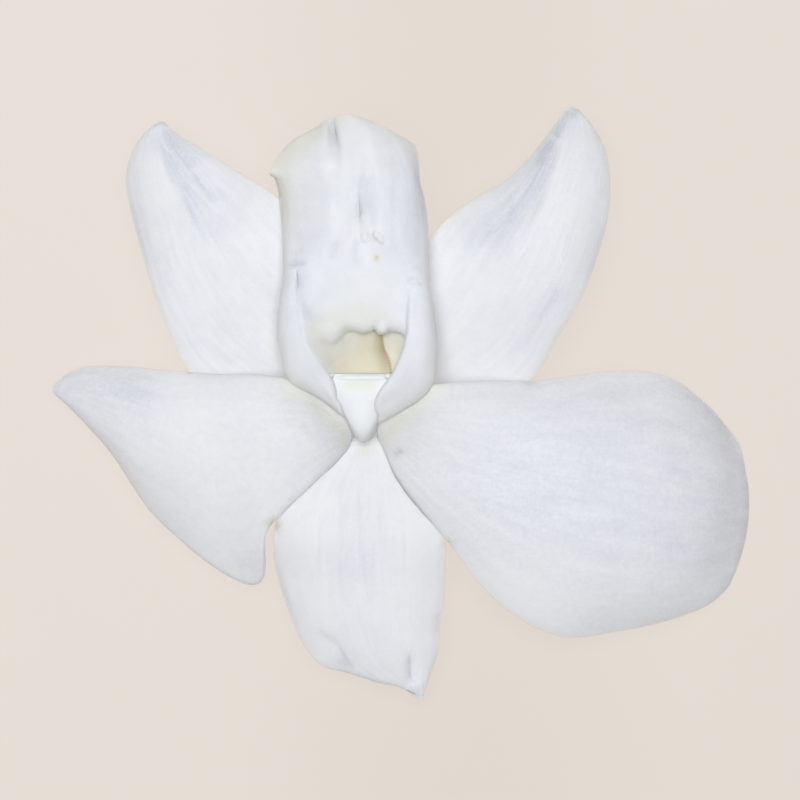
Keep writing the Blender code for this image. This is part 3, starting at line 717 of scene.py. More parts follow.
def vein_coordinate(grid_shape, spread=0.35):
    """Across-blade coordinate whose even lines fan out through the side margins."""
    u = close_at_both_ends(grid_shape[0] - 1)[:, None]
    v = 2.0 * close_at_both_ends(grid_shape[1] - 1)[None, :] - 1.0
    return u, v, v * (1.0 - spread * u**1.5)


def vein_relief(w, count, depth, sharpness=2.2):
    """Evenly spaced narrow grooves along lines of equal w."""
    wave = 0.5 + 0.5 * np.cos(math.pi * w * count)
    return -depth * wave**sharpness


def ends_fade(u):
    """Keeps a blade's relief off its narrow base and tip."""
    return ramp(u, 0.0, 0.12) * (1.0 - 0.85 * ramp(u, 0.94, 1.0))


# Where the petals pass under the side lobes, from the column outwards
LEFT_CREVICE = [(-4.9, -3.7), (-5.5, -2.5), (-6.5, -1.3), (-8.2, 0.2), (-10.0, 1.5)]
RIGHT_CREVICE = [(-1.5, -3.7), (-1.1, -2.9), (0.3, -1.5), (2.0, 0.0), (3.6, 1.5)]

# The feet of the side lobes, from the lip's waist down to the column
LEFT_FOOT = [(-12.1, 8.5), (-11.9, 6.0), (-11.1, 3.7), (-9.7, 1.4), (-7.6, -0.6)]
RIGHT_FOOT = [(4.5, 8.5), (4.3, 6.0), (3.7, 3.7), (2.8, 1.6), (1.0, -0.9)]


def crevice_shade(x, y, line):
    """Warm-tinted painted shade on a petal along the foot of a side lobe, where the lobe overhangs
    it: a wide band and a narrow one.
    """
    return marks(x, y, [(line, 0.2, 2.4, 2.4, 0.0), (line, 0.2, 0.8, 0.8, 0.0)])


def lobe_feet_painted_light(x, y, most=0.6, reach=0.9):
    """Painted light beside the feet of the side lobes, lifting the shade that falls there on the
    tissue below.
    """
    return marks(x, y, [(line, most, reach, reach, 0.3) for line in (LEFT_FOOT, RIGHT_FOOT)])


def blade_flat(grid, w):
    """Coordinates in millimetres: along the blade, and across it following the veins."""
    middle = grid[:, grid.shape[1] // 2]
    along = np.concatenate([[0.0], np.cumsum(np.linalg.norm(np.diff(middle, axis=0), axis=1))])
    half = np.linalg.norm(grid[:, 0] - grid[:, -1], axis=1).max() / 2.0
    return np.stack([np.broadcast_to(along[:, None], w.shape), w * half], axis=2)


def lifted(grid, relief):
    """The sheet with each point moved along its normal by the relief."""
    return grid + face_up(grid) * relief[:, :, None]


def add_blade(node, slot, grid, w, masks, thickness, sizes, tissue):
    """The skin of one tepal, finished as the piece that stands for its frame node."""
    thing = add_skin(
        node + "_blade", grid, thickness, drawn(sizes.margin_rounding), blade_flat(grid, w),
        masks, tissue,
    )
    finish_piece(thing, slot, node)


def add_petal_right(sizes, tissue):
    """The spread petal: domed, its far rim turned down, its margin gently waved."""
    grid = blade_grid(PETAL_RIGHT, crown=2.6, along=170, across=150)
    u, v, w = vein_coordinate(grid.shape[:2], spread=0.45)
    x, y = grid[:, :, 0], grid[:, :, 1]
    relief = vein_relief(w, 11.0, 0.5 * drawn(sizes.vein_depth)) * ramp(u, 0.02, 0.3)
    relief += unevenness(x, y, ((0.10, 5.0, 11), (0.05, 1.6, 12), (0.022, 0.7, 13)))
    relief += 0.2 * ramp(np.abs(v), 0.6, 1.0) * np.sin(19.0 * u + 2.0 * v)
    # Darker towards the far rim, as painted shade where the rim turns down, lighter below,
    # and darker in a broad patch in the middle
    rim = 1.0 - ramp(edge_distance(grid), 0.0, 3.0)
    dense_and_shade = 0.1 + 0.18 * ramp(x, 9.0, 20.0) + 0.2 * rim * ramp(x, 24.0, 30.0)
    dense_and_shade += 0.1 * ramp(x, 26.0, 31.0) - 0.16 * ramp(-y, 12.0, 18.0)
    dense_and_shade += 0.24 * dot(x, y, (11.0, -7.4), 6.0) + 0.06 * dot(x, y, (26.0, -14.8), 4.0)
    # A small bruise near the column, and painted shade, dark and brown, in the corners where organs
    # meet
    bruise = marks(x, y, [([(-0.3, -4.9), (-0.1, -4.8), (0.1, -4.7)], 0.7, 0.3, 0.3, 0.0)])
    corners = 0.9 * dot(x, y, (12.0, 1.8), 0.45) + 0.8 * dot(x, y, (4.4, -13.2), 0.5)
    masks = {
        "dense_and_shade": dense_and_shade + corners + bruise,
        "warm": crevice_shade(x, y, RIGHT_CREVICE) + 0.7 * corners,
        "painted_light": lobe_feet_painted_light(x, y),
    }
    grid = lifted(grid, relief * ends_fade(u))
    thickness = drawn(sizes.tepal_thickness)
    add_blade("petal_right", "petal_tissue", grid, w, masks, thickness, sizes, tissue)


def add_petal_left(sizes, tissue):
    """The narrower petal, its outer margin rolled back underneath."""
    grid = blade_grid(PETAL_LEFT, crown=2.2, along=170, across=130)
    u, _, w = vein_coordinate(grid.shape[:2], spread=0.35)
    x, y = grid[:, :, 0], grid[:, :, 1]
    relief = vein_relief(w, 9.0, 0.4 * drawn(sizes.vein_depth)) * ramp(u, 0.02, 0.3)
    relief += unevenness(x, y, ((0.10, 5.0, 21), (0.04, 1.6, 22), (0.02, 0.7, 23)))
    # Painted shade: darker towards the outer end, where the margin rolls under, and along
    # the side lobe, which overhangs the petal
    dense_and_shade = 0.05 * ramp(-x, 21.0, 30.0) + 0.2 * ramp(-x, 20.0, 24.0) * ramp(y, -2.0, 1.0)
    dense_and_shade += 0.2 * dot(x, y, (-25.0, 0.0), 3.0)
    dense_and_shade += marks(x, y, [(LEFT_CREVICE, 0.3, 3.0, 3.0, 0.0)])
    # Painted shade, dark and brown, in the corners where organs meet, and over the lower
    # corner
    corners = 0.5 * dot(x, y, (-19.4, 2.6), 0.35) + dot(x, y, (-11.7, -11.4), 0.6)
    low_corner_shade = dot(x, y, (-14.0, -15.0), 1.8)
    masks = {
        "dense_and_shade": dense_and_shade + corners + 0.25 * low_corner_shade,
        "warm": crevice_shade(x, y, LEFT_CREVICE) + 0.7 * corners + 0.12 * low_corner_shade,
        "painted_light": lobe_feet_painted_light(x, y),
    }
    grid = lifted(grid, relief * ends_fade(u))
    grid = curl_under(grid, LEFT_ROLL, ROLL_END, ROLL_STEPS)
    # The rolled part has the looks of the margin that it goes on from
    w, *rolled = (
        np.concatenate([np.repeat(part[:, :1], ROLL_STEPS, axis=1), part], axis=1)
        for part in (w, *masks.values())
    )
    masks = dict(zip(masks, rolled))
    thickness = drawn(sizes.tepal_thickness)
    add_blade("petal_left", "petal_tissue", grid, w, masks, thickness, sizes, tissue)


class ORCHID_OT_petals(bpy.types.Operator):
    """Builds the two broad petals."""

    bl_idname = "orchid.petals"
    bl_label = "Build petals"

    def execute(self, context):
        sizes, colours = context.scene.orchid_sizes, context.scene.orchid_colours
        # Fine even cells and hardly a vein, so the petals look smooth and powdery
        tissue = tissue_material(
            "preserved_petal_tissue", colours.tissue, colours,
            vein_size=1.1, vein_strength=0.5, patch_size=0.6, mottle=0.14,
        )
        add_petal_right(sizes, tissue)
        add_petal_left(sizes, tissue)
        return {"FINISHED"}


# The dorsal sepal: its ribs, each with its start, its end and how dense it is, the hem
# where its wavy end turns, and its painted shade along its folds and margins
DORSAL_RIBS = (
    ((-3.8, -6.6), (-3.8, -12.2), 0.2), ((-3.5, -12.8), (-3.0, -18.9), 0.2),
    ((-5.4, -6.4), (-5.6, -13.6), 0.12), ((-1.9, -7.6), (-1.8, -15.2), 0.1),
    ((-7.4, -9.6), (-7.6, -17.2), 0.08), ((0.4, -9.8), (0.6, -17.6), 0.08),
)
DORSAL_HEM = [(-8.4, -21.0), (-6.4, -22.2), (-5.2, -23.7), (-5.2, -25.0)]
DORSAL_SHADE = [
    (DORSAL_HEM, 0.2, 0.5, 0.3),
    ([(-6.2, -24.0), (-5.0, -24.3), (-3.9, -24.5)], 0.18, 0.9, 0.9),
    ([(1.1, -26.6), (0.95, -25.0), (0.95, -22.8)], 0.6, 0.4, 0.2, 0.3),  # tip's fold
    ([(3.85, -20.0), (3.9, -21.0), (3.85, -21.9)], 0.6, 0.3, 0.4, 0.3),  # side nick
    ([(3.7, -22.4), (2.9, -25.4), (1.8, -26.9)], 0.3, 0.3, 0.3, 0.2),  # tip's margin
    ([(-11.3, -14.6), (-10.4, -18.2), (-8.9, -21.6)], 0.25, 0.3, 0.3, 0.2),  # far margin
]


def dorsal_creases(x, y, u):
    """Faint ribs along the blade, a folded tip and a wavy end, with painted shade along its folds and
    margins and in its corners.
    """
    relief = -marks(x, y, [
        ([(1.1, -26.9), (0.95, -25.2), (0.9, -22.4)], 0.4, 0.5, 1.2, 0.4),
        ([(3.5, -19.6), (3.7, -20.8), (3.7, -22.2)], 0.2, 0.4, 0.8),
        (DORSAL_HEM, 0.12, 0.5, 0.5),
    ])
    dense_and_shade = 0.12 * ramp(-np.abs(x + 3.4), -4.5, -1.5) + 0.16 * dot(x, y, (-4.4, -14.8), 3.0)
    for start, end, share in DORSAL_RIBS:
        line = [start, ((start[0] + end[0]) / 2.0, (start[1] + end[1]) / 2.0), end]
        rib = fold(x, y, line, 1.0, 0.15, 0.15, 0.4)
        relief += 0.04 * rib
        dense_and_shade -= share * rib
    wavy = ramp(u, 0.6, 0.95)
    relief += 0.18 * wavy * np.sin(1.3 * x + 0.8 * y)
    dense_and_shade += 0.25 * wavy * np.maximum(grain(x, y, 1.3, 35), 0.0)
    # Painted shade along the folds and margins, and at the tip
    dense_and_shade += marks(x, y, DORSAL_SHADE) + 0.4 * dot(x, y, (1.8, -26.9), 0.7)
    # Painted shade, dark and brown, in the corners where the petals meet it, and brown painted shade
    # below the column
    corners = dot(x, y, (-11.5, -11.6), 0.6) + 0.7 * dot(x, y, (4.2, -13.3), 0.45)
    return relief, dense_and_shade + corners, 0.7 * corners + 0.3 * dot(x, y, (-3.2, -4.4), 0.9)


# The left lateral sepal: its crest from the tip down, and its painted shade in the valleys
# and along the outer margin, with a painted highlight on the outer slope
LEFT_CREST = [
    (-22.3, 25.4), (-22.1, 23.6), (-21.7, 21.9), (-21.0, 20.2), (-20.0, 18.2),
    (-19.1, 16.2), (-18.1, 14.5), (-17.2, 13.1),
]
LEFT_LATERAL_SHADE_AND_LIGHT = [
    (LEFT_CREST, 0.38, 1.4, 0.1, 0.35),
    ([(-19.6, 21.4), (-17.8, 19.4), (-16.0, 17.9)], 0.24, 0.8, 0.5),  # second valley
    ([(-21.8, 25.4), (-20.9, 23.8), (-19.8, 22.4), (-18.8, 21.2)], 0.4, 1.3, 1.3, 0.2),
    ([(-23.2, 23.6), (-22.4, 21.3), (-21.8, 19.4), (-20.8, 17.6)], -0.14, 1.2, 1.2),
    ([(-20.5, 20.4), (-19.2, 18.6), (-17.8, 16.8)], 0.2, 0.3, 0.3),
    ([(-24.6, 19.0), (-24.0, 15.4), (-23.1, 11.9)], 0.15, 0.8, 0.8),  # outer margin
]


def left_lateral_creases(x, y, _):
    """A crest from the tip down the blade with a valley on its inner side, and a second
    ridge in the valley."""
    relief = flank(x, y, LEFT_CREST, 0.8, 1.3, 0.35)
    relief += marks(x, y, [([(-20.2, 21.0), (-18.4, 18.9), (-16.6, 17.3)], 0.3, 0.7, 0.4)])
    nub = dot(x, y, (-21.9, 25.8), 0.45)
    # Painted shade in the valleys and along the outer margin, a painted highlight on the outer slope,
    # and a darker nub
    dense_and_shade = 0.16 + marks(x, y, LEFT_LATERAL_SHADE_AND_LIGHT) + 0.5 * nub
    return relief, dense_and_shade, 0.15 * nub


# The right lateral sepal: its crest from the tip down, its valley, and its other
# marks of painted shade
RIGHT_CREST = [
    (15.8, 26.6), (15.3, 24.6), (14.6, 21.7), (13.5, 18.4), (12.3, 15.8), (11.3, 13.7),
    (10.4, 11.9),
]
RIGHT_VALLEY = [(15.4, 25.8), (13.8, 22.8), (11.8, 19.2), (10.2, 16.8), (8.4, 14.0)]
RIGHT_LATERAL_SHADE = [
    ([(14.4, 24.6), (13.2, 23.2), (12.2, 21.6)], 0.6, 0.4, 0.45, 0.3),  # upper valley
    ([(9.6, 16.6), (7.6, 14.8), (5.6, 12.8)], 0.22, 2.2, 2.2, 0.3),  # valley's end
    ([(19.0, 16.8), (18.4, 13.6), (16.7, 10.4)], 0.25, 0.6, 0.8),  # outer margin
    ([(16.4, 10.8), (13.8, 9.0), (11.8, 6.0), (9.4, 4.0)], 0.2, 1.0, 1.0),
    ([(15.7, 26.8), (15.0, 25.5), (14.3, 24.3)], 0.6, 0.8, 0.8, 0.1),  # beside the tip
]


def right_lateral_creases(x, y, _):
    """A crest from the tip with a deep valley on its inner side, and an outer margin
    that bends back."""
    relief = flank(x, y, RIGHT_CREST, 1.2, -1.5, 0.35)
    relief -= marks(x, y, [([(15.4, 10.4), (13.6, 7.6), (11.8, 5.0)], 0.12, 0.9, 0.9)])
    inside = ramp(-beside_line(x, y, RIGHT_CREST)[0], -0.1, 0.5)
    # Painted shade in the valley on the inner side of the crest, beside the tip and along the margins
    dense_and_shade = 0.12 + marks(x, y, [(RIGHT_VALLEY, 0.55, 1.5, 2.2, 0.3)]) * inside
    dense_and_shade += marks(x, y, RIGHT_LATERAL_SHADE) + 0.5 * dot(x, y, (9.0, 13.0), 0.2)
    # Brown painted shade along the lower margin
    warm = marks(x, y, [([(16.2, 9.0), (14.4, 5.6), (12.2, 2.4)], 0.05, 0.9, 0.9)])
    nub = dot(x, y, (16.1, 26.7), 0.6)
    return relief, dense_and_shade + 0.7 * nub, warm + 0.2 * nub


# Each sepal's rows, the seed of its unevenness, and the function of its creases
SEPALS = {
    "sepal_dorsal": (SEPAL_DORSAL, 31, dorsal_creases),
    "sepal_lateral_left": (SEPAL_LATERAL_LEFT, 41, left_lateral_creases),
    "sepal_lateral_right": (SEPAL_LATERAL_RIGHT, 51, right_lateral_creases),
}


def add_sepal(name, sizes, tissue):
    """A sepal with its creases, thin at its margins and with a hard nub at its tip."""
    rows, seed, creases_of = SEPALS[name]
    grid = blade_grid(rows, crown=3.0, along=180, across=150)
    u, _, w = vein_coordinate(grid.shape[:2], spread=0.1)
    x, y = grid[:, :, 0], grid[:, :, 1]
    relief = vein_relief(w, 8.0, 0.4 * drawn(sizes.vein_depth)) * ramp(u, 0.02, 0.3)
    relief += unevenness(x, y, ((0.08, 4.0, seed), (0.03, 1.4, seed + 1)))
    creases, dense_and_shade, warm = creases_of(x, y, u)
    grid = lifted(grid, (relief + creases) * ends_fade(u))
    thickness = with_nub(grid, drawn(sizes.tepal_thickness), swell=0.5, reach=0.6)
    masks = {"dense_and_shade": dense_and_shade, "warm": warm, "painted_light": lobe_feet_painted_light(x, y)}
    add_blade(name, "sepal_tissue", grid, w, masks, thickness, sizes, tissue)


class ORCHID_OT_sepals(bpy.types.Operator):
    """Builds the dorsal sepal and the two lateral sepals."""

    bl_idname = "orchid.sepals"
    bl_label = "Build sepals"

    def execute(self, context):
        sizes, colours = context.scene.orchid_sizes, context.scene.orchid_colours
        # Narrow strong veins, so the sepals look finely ribbed and brushed
        tissue = tissue_material(
            "preserved_sepal_tissue", colours.tissue, colours, vein_size=0.7, vein_strength=1.5
        )
        for name in SEPALS:
            add_sepal(name, sizes, tissue)
        return {"FINISHED"}


# The inner brinks of the lip's side lobes
LEFT_BRINK = [(-9.2, 9.4), (-8.9, 6.7), (-8.4, 4.6), (-6.9, 2.4), (-5.8, 0.4), (-5.4, -0.6)]
RIGHT_BRINK = [(1.2, 9.4), (0.95, 6.2), (0.5, 4.4), (-0.4, 2.4), (-2.1, 0.0), (-1.9, -1.3)]

# Puckers where the side lobes part from the middle lobe: start, end and depth
LIP_PUCKERS = (
    ((-10.6, 12.2), (-8.2, 12.5), 0.35), ((-10.2, 13.1), (-8.6, 13.9), 0.2),
    ((-9.6, 12.4), (-9.2, 9.4), 0.3), ((0.4, 10.8), (2.6, 10.6), 0.4),
    ((0.9, 12.0), (2.6, 11.8), 0.2), ((0.7, 13.0), (2.4, 13.1), 0.12),
    ((-9.8, 14.4), (-8.8, 15.2), 0.12), ((-9.8, 16.4), (-8.2, 17.4), 0.1),
)
LIP_FLAKES = ((-2.7, 15.3), (-2.1, 15.1), (-1.7, 14.7), (-3.2, 14.9))
POLLEN_CRUMB = (-1.6, 6.6)

# The lip's darker marks: painted shade in its pit, crease and puckers, along its right
# margin and into the throat, and two darker streaks; and the marks that have turned cream
LIP_DENSE_AND_SHADE = [
    ([(-4.0, 18.6), (-3.75, 17.4), (-3.7, 16.2)], 0.7, 0.25, 0.25, 0.4),  # long pit
    ([(-3.5, 21.0), (-3.2, 18.8), (-3.0, 16.6)], 0.3, 1.0, 1.0),  # round the pit
    ([(-6.4, 27.4), (-5.9, 24.8), (-5.2, 21.4)], 0.9, 0.2, 0.7, 0.5),  # tip's crease
    ([(1.2, 22.4), (1.6, 18.8), (2.0, 15.4)], 0.3, 0.7, 0.7, 0.3),  # right margin
    ([(-8.0, 12.2), (-9.1, 10.6), (-9.1, 9.2), (-8.3, 7.9), (-6.6, 7.3)], 0.35, 0.8, 0.8),
    ([(-10.4, 12.2), (-9.4, 12.5), (-8.3, 12.5)], 0.5, 0.3, 0.3, 0.3),  # left pucker
    ([(-6.0, 14.9), (-5.9, 13.6), (-6.2, 12.6)], 0.3, 0.4, 0.4),
    ([(-4.0, 15.0), (-4.1, 13.6), (-4.0, 11.8)], 0.25, 0.35, 0.35),
]
LIP_CREAM = [
    ([(-4.0, 17.2), (-3.8, 16.4), (-3.0, 15.6)], 0.25, 0.5, 0.5),
    ([(-5.4, 15.9), (-5.6, 14.6), (-6.0, 13.6)], 0.14, 0.5, 0.5),
]
# Painted shade along a fold down the throat's floor, and brown painted shadow under the corner at the
# left of the middle lobe
THROAT_FOLD_SHADE = [(-1.75, 7.0), (-1.5, 5.0), (-0.9, 3.5), (-0.6, 1.6)]
SHADOWED_CORNER = [(-11.8, 20.9), (-11.5, 19.8), (-11.1, 18.4)]

# How the throat's overhanging brink swings: place, width and reach of each swing
BRINK_SWINGS = (
    (-4.8, 0.6, 0.15), (-3.3, 0.5, -0.15), (-2.4, 0.35, 0.2), (-1.7, 0.3, -0.15),
    (-0.6, 0.6, 0.1),
)
BRINK_LEVEL = 6.35


def lip_relief(x, y, z):
    """The crease and pit of the middle lobe, the puckers where the lobes part, the
    keels' flakes, the crumb of pollen, and the raised brinks of the side lobes."""
    relief = -marks(x, y, [
        ([(-6.3, 26.6), (-5.9, 24.6), (-5.2, 21.4)], 0.6, 0.25, 0.8, 0.5),
        ([(-4.0, 19.2), (-3.75, 17.6), (-3.7, 15.8)], 0.5, 0.35, 0.35, 0.35),
        (LEFT_BRINK, -0.1, 0.22, 0.22, 0.1), (RIGHT_BRINK, -0.1, 0.2, 0.2, 0.1),
    ])
    relief += flank(x, y, [(-5.4, 22.4), (-4.6, 20.4), (-4.4, 18.2)], 0.25, -1.2)
    for start, end, depth in LIP_PUCKERS:
        middle = ((start[0] + end[0]) / 2.0, (start[1] + end[1]) / 2.0 + 0.15)
        relief += fold(x, y, [start, middle, end], depth, 0.3, 0.3, 0.4)
    for flake in LIP_FLAKES:
        relief += 0.35 * dot(x, y, flake, 0.22)
    relief += 0.3 * dot(x, y, POLLEN_CRUMB, 0.35)
    streaks = 0.02 * np.cos(6.0 * x + 2.5 * grain(x, 0.6 * y, 1.6, 63))
    streaks *= ramp(y, 12.0, 15.0) * (1.0 - ramp(y, 20.0, 24.0))
    return ramp(z, 11.0, 12.5) * (relief + streaks * ramp(-np.abs(x + 3.6), -4.5, -2.0))


def lip_warmth(x, y, z):
    """Where the lip turns cream and beige: in the throat and on its left wall, more so deeper
    down, partly its own colour and partly painted shade; painted shade along the fold of its
    floor and under the brink; a painted highlight where the brink curls; and small stains."""
    # Deeper in the throat it turns beige, partly its own colour and partly painted shade
    deep = 1.0 - ramp(z, 11.0, 14.0)
    inside = 1.0 - ramp(np.hypot((x + 3.9) / 5.0, (y - 5.4) / 4.6), 0.6, 1.05)
    from_brink = beside_line(x, y, LEFT_BRINK)[0]
    wall = ramp(from_brink, -0.1, 0.5) * (1.0 - ramp(from_brink, 1.0, 3.0)) * ramp(-y, -10.0, -6.5)
    in_throat = ramp(y, 0.5, 1.0) * (1.0 - ramp(z, 12.4, 13.4))
    # Painted shade along the fold down the throat's floor
    fold_shade = [(THROAT_FOLD_SHADE, 0.36, 0.05, 1.2, 0.0), (THROAT_FOLD_SHADE, 0.3, 0.08, 0.12, 0.0)]
    bands = 0.5 * np.cos(3.6 * x + 0.5 * np.cos(2.0 * x)) + 0.4 * grain(x, 0.2 * y, 0.5, 64)
    warm = 0.26 * inside + 0.38 * deep + 0.14 * wall * ramp(y, 0.0, 2.0)
    warm += in_throat * (marks(x, y, fold_shade) + 0.05 * bands)
    # Brown painted shade under the overhanging brink
    warm += marks(x, y, [(throat_edge(), 0.12, 0.15, 0.15, 0.3)])
    # A painted highlight, whiter, where the brink curls
    warm *= 1.0 - 0.5 * dot(x, y, (-1.6, 6.7), 0.4)
    warm += marks(x, y, LIP_CREAM)
    return warm + 0.9 * dot(x, y, (-2.1, 13.0), 0.3) + 0.4 * dot(x, y, (-2.0, 14.7), 0.25)


def lip_density(x, y):
    """Where the lip is darker: painted shade on the sides of its middle lobe, where they slope away,
    and beside the left brink, and its marks.
    """
    lobe = ramp(y, 11.0, 14.0)
    from_brink = beside_line(x, y, LEFT_BRINK)[0]
    dense_and_shade = lobe * (0.12 * ramp(-x, 4.6, 7.5) + 0.26 * ramp(x, -2.8, -0.4))
    dense_and_shade *= 1.0 - 0.4 * ramp(y, 17.0, 21.0)
    dense_and_shade += 0.1 * ramp(-from_brink, -0.2, 0.4) * ramp(-x, 5.0, 7.0) * (1.0 - lobe)
    return dense_and_shade + marks(x, y, LIP_DENSE_AND_SHADE)


def lip_masks(x, y, z):
    """The lip's masks. The painted shadow under the corner at the left of the middle lobe is both
    dark and brown.
    """
    # Brown painted shadow under the corner at the left of the middle lobe, low down
    corner_shadow = marks(x, y, [(SHADOWED_CORNER, 0.5, 0.55, 0.55, 0.1)]) * (1.0 - ramp(z, 10.6, 11.8))
    return {
        "dense_and_shade": lip_density(x, y) + corner_shadow,
        "warm": np.clip(lip_warmth(x, y, z) + corner_shadow, 0.0, 1.0),
        "painted_light": lobe_feet_painted_light(x, y, most=0.9, reach=1.2),
    }


def throat_edge():
    """The line of the brink that overhangs the throat."""
    across = np.linspace(-6.0, 0.9, 9)
    return [(place, BRINK_LEVEL + float(throat_wiggle(place))) for place in across]


def throat_wiggle(x):
    """How far the overhanging brink of the throat swings forwards and back."""
    swing = sum(reach * np.exp(-(((x - place) / width) ** 2)) for place, width, reach in BRINK_SWINGS)
    return swing - 0.6 * ramp(x, 0.0, 0.9) - 0.6 * ramp(-x, 5.0, 6.2)


class ORCHID_OT_lip(bpy.types.Operator):
    """Builds the lip with its side lobes, throat and middle lobe."""

    bl_idname = "orchid.lip"
    bl_label = "Build lip"

    def execute(self, context):
        sizes, colours = context.scene.orchid_sizes, context.scene.orchid_colours
        # Broad soft veins and patches, so the lip looks thicker and faintly clouded
        tissue = tissue_material(
            "preserved_lip_tissue", colours.lip_tissue, colours, vein_size=1.1, vein_strength=0.8
        )
        # Closer steps at the margins, and where the throat and the brink bend sharply
        u = crowd(210, ((0.0, 0.02, 5.0), (1.0, 0.02, 5.0), (0.33, 0.07, 1.2)))
        v = crowd(230, ((0.0, 0.02, 5.0), (1.0, 0.02, 5.0), (0.57, 0.05, 1.6)))
        grid = net_grid(LIP, u, v)
        x, y, z = (grid[:, :, k] for k in range(3))
        on_brink = np.exp(-(((y - 6.4) / 0.9) ** 2)) * ramp(z, 11.2, 13.2)
        y += throat_wiggle(x) * on_brink * ramp(-np.abs(x + 3.2), -5.0, -3.2)
        masks = lip_masks(x, y, z)
        relief = lip_relief(x, y, z) + unevenness(x, y, ((0.06, 2.5, 61), (0.03, 0.9, 62)))
        # The lip is about 35 mm long and 18 mm wide when laid flat.
        flat = np.stack(np.meshgrid(u * 35.0, v * 18.0, indexing="ij"), axis=2)
        thing = add_skin(
            "lip_blade", lifted(grid, relief), drawn(sizes.lip_thickness),
            drawn(sizes.margin_rounding), flat, masks, tissue,
        )
        finish_piece(thing, "lip_tissue", "lip")
        return {"FINISHED"}


def read_sections(sections, along):
    """Each part of a list of sections as a smooth row of values along the organ."""
    weights = smooth_weights(len(sections), np.linspace(0.0, 1.0, along + 1))
    return [weights @ np.array(part) for part in zip(*sections)]


def column_rings(sections, along, count):
    """Rings of the column, each in the plane of its dorsal and ventral points. Sides
    sharper than 1 pinch a ring towards a lens with pointed ends."""
    dorsal, ventral, half, sharp = read_sections(sections, along)
    turn = np.linspace(0.0, 2.0 * math.pi, count, endpoint=False)[None, :]
    lift = np.sign(np.sin(turn)) * np.abs(np.sin(turn)) ** sharp[:, None]
    middle = ((dorsal + ventral) / 2.0)[:, None, :]
    rings = middle + lift[:, :, None] * ((dorsal - ventral) / 2.0)[:, None, :]
    lean = COLUMN_LEAN * (dorsal[:, :1] + 7.0) * ramp(dorsal[:, 1:], 8.0, 11.0)
    across = COLUMN_MIDDLE + lean + half[:, None] * np.cos(turn)
    return np.concatenate([across[:, :, None], rings], axis=2)


def stem_rings(sections, along, count):
    """Round rings square to a path that stays close to the Y-Z plane."""
    centres, radii = read_sections(sections, along)
    ahead = np.gradient(centres, axis=0)
    ahead /= np.linalg.norm(ahead, axis=1)[:, None]
    side = np.array([1.0, 0.0, 0.0]) - ahead * ahead[:, :1]
    side /= np.linalg.norm(side, axis=1)[:, None]
    back = np.cross(ahead, side)
    turn = np.linspace(0.0, 2.0 * math.pi, count, endpoint=False)[None, :, None]
    around = np.cos(turn) * side[:, None, :] + np.sin(turn) * back[:, None, :]
    return centres, radii[:, None, None] * around


def add_tube(name, rings, ends, material, masks=None):
    """A closed body through rings, with its two end points."""
    steps, count = rings.shape[:2]
    index = np.arange(steps * count).reshape(steps, count)
    after = np.roll(index, -1, axis=1)
    quads = np.stack([index[:-1], after[:-1], after[1:], index[1:]], axis=2).reshape(-1, 4)
    points = np.concatenate([rings.reshape(-1, 3), ends])
    points[:, 2] = np.maximum(points[:, 2], FLOOR_GAP)
    faces = [tuple(face) for face in point_outwards(points, quads).tolist()]
    first, last = steps * count, steps * count + 1
    flip = faces[0][0] != quads[0][0]
    for k in range(count):
        one, two = index[0, k], after[0, k]
        three, four = index[-1, k], after[-1, k]
        caps = [(first, int(two), int(one)), (last, int(three), int(four))]
        faces += [cap[::-1] if flip else cap for cap in caps]
    return add_mesh(name, points, faces, material, None, masks)


def smooth_tissue(name, tones, cell, **shader):
    """Firm smooth tissue or wax: two close tones drift through it in lumps of `cell`
    millimetres, and its skin is very finely uneven, so highlights stay soft."""
    material, tree, principled = begin_material(name, IOR=1.42, **shader)
    place = add_node(tree, "ShaderNodeTexCoord").outputs["Object"]
    lumps = add_node(tree, "ShaderNodeTexNoise", None, {
        "Vector": place, "Scale": 1.0 / (cell * MILLIMETRE), "Detail": 4.0, "Roughness": 0.6,
    }).outputs["Fac"]
    colour = colour_ramp(tree, lumps, tones)
    tree.links.new(tinted(tree, colour), principled.inputs["Base Color"])
    bump = add_node(tree, "ShaderNodeBump", None, {
        "Strength": 0.4, "Distance": 0.04 * MILLIMETRE, "Height": lumps,
    }).outputs["Normal"]
    tree.links.new(bump, principled.inputs["Normal"])
    return material


def two_tones(colour, share):
    """A colour and a slightly darker one."""
    return (tuple(colour), tuple(c * share for c in colour))


def hood_rings(seat, half, along, count):
    """Rings of a low cap, flat below and rounded above."""
    rise = np.linspace(-0.45, 0.5, along + 1)[:, None] * math.pi
    turn = np.linspace(0.0, 2.0 * math.pi, count, endpoint=False)[None, :]
    squarer = np.sign(np.cos(turn)) * np.abs(np.cos(turn)) ** 0.7
    return np.stack([
        seat[0] + half[0] * np.cos(rise) * squarer,
        seat[1] + half[1] * np.cos(rise) * np.sin(turn),
        seat[2] + half[2] * np.sin(rise) * np.ones_like(turn),
    ], axis=2)


def add_hood(name, seat, half, along, count, material):
    """A closed body of hood rings."""
    rings = hood_rings(seat, half, along, count)
    return add_tube(name, rings, rings[[0, -1]].mean(axis=1), material)


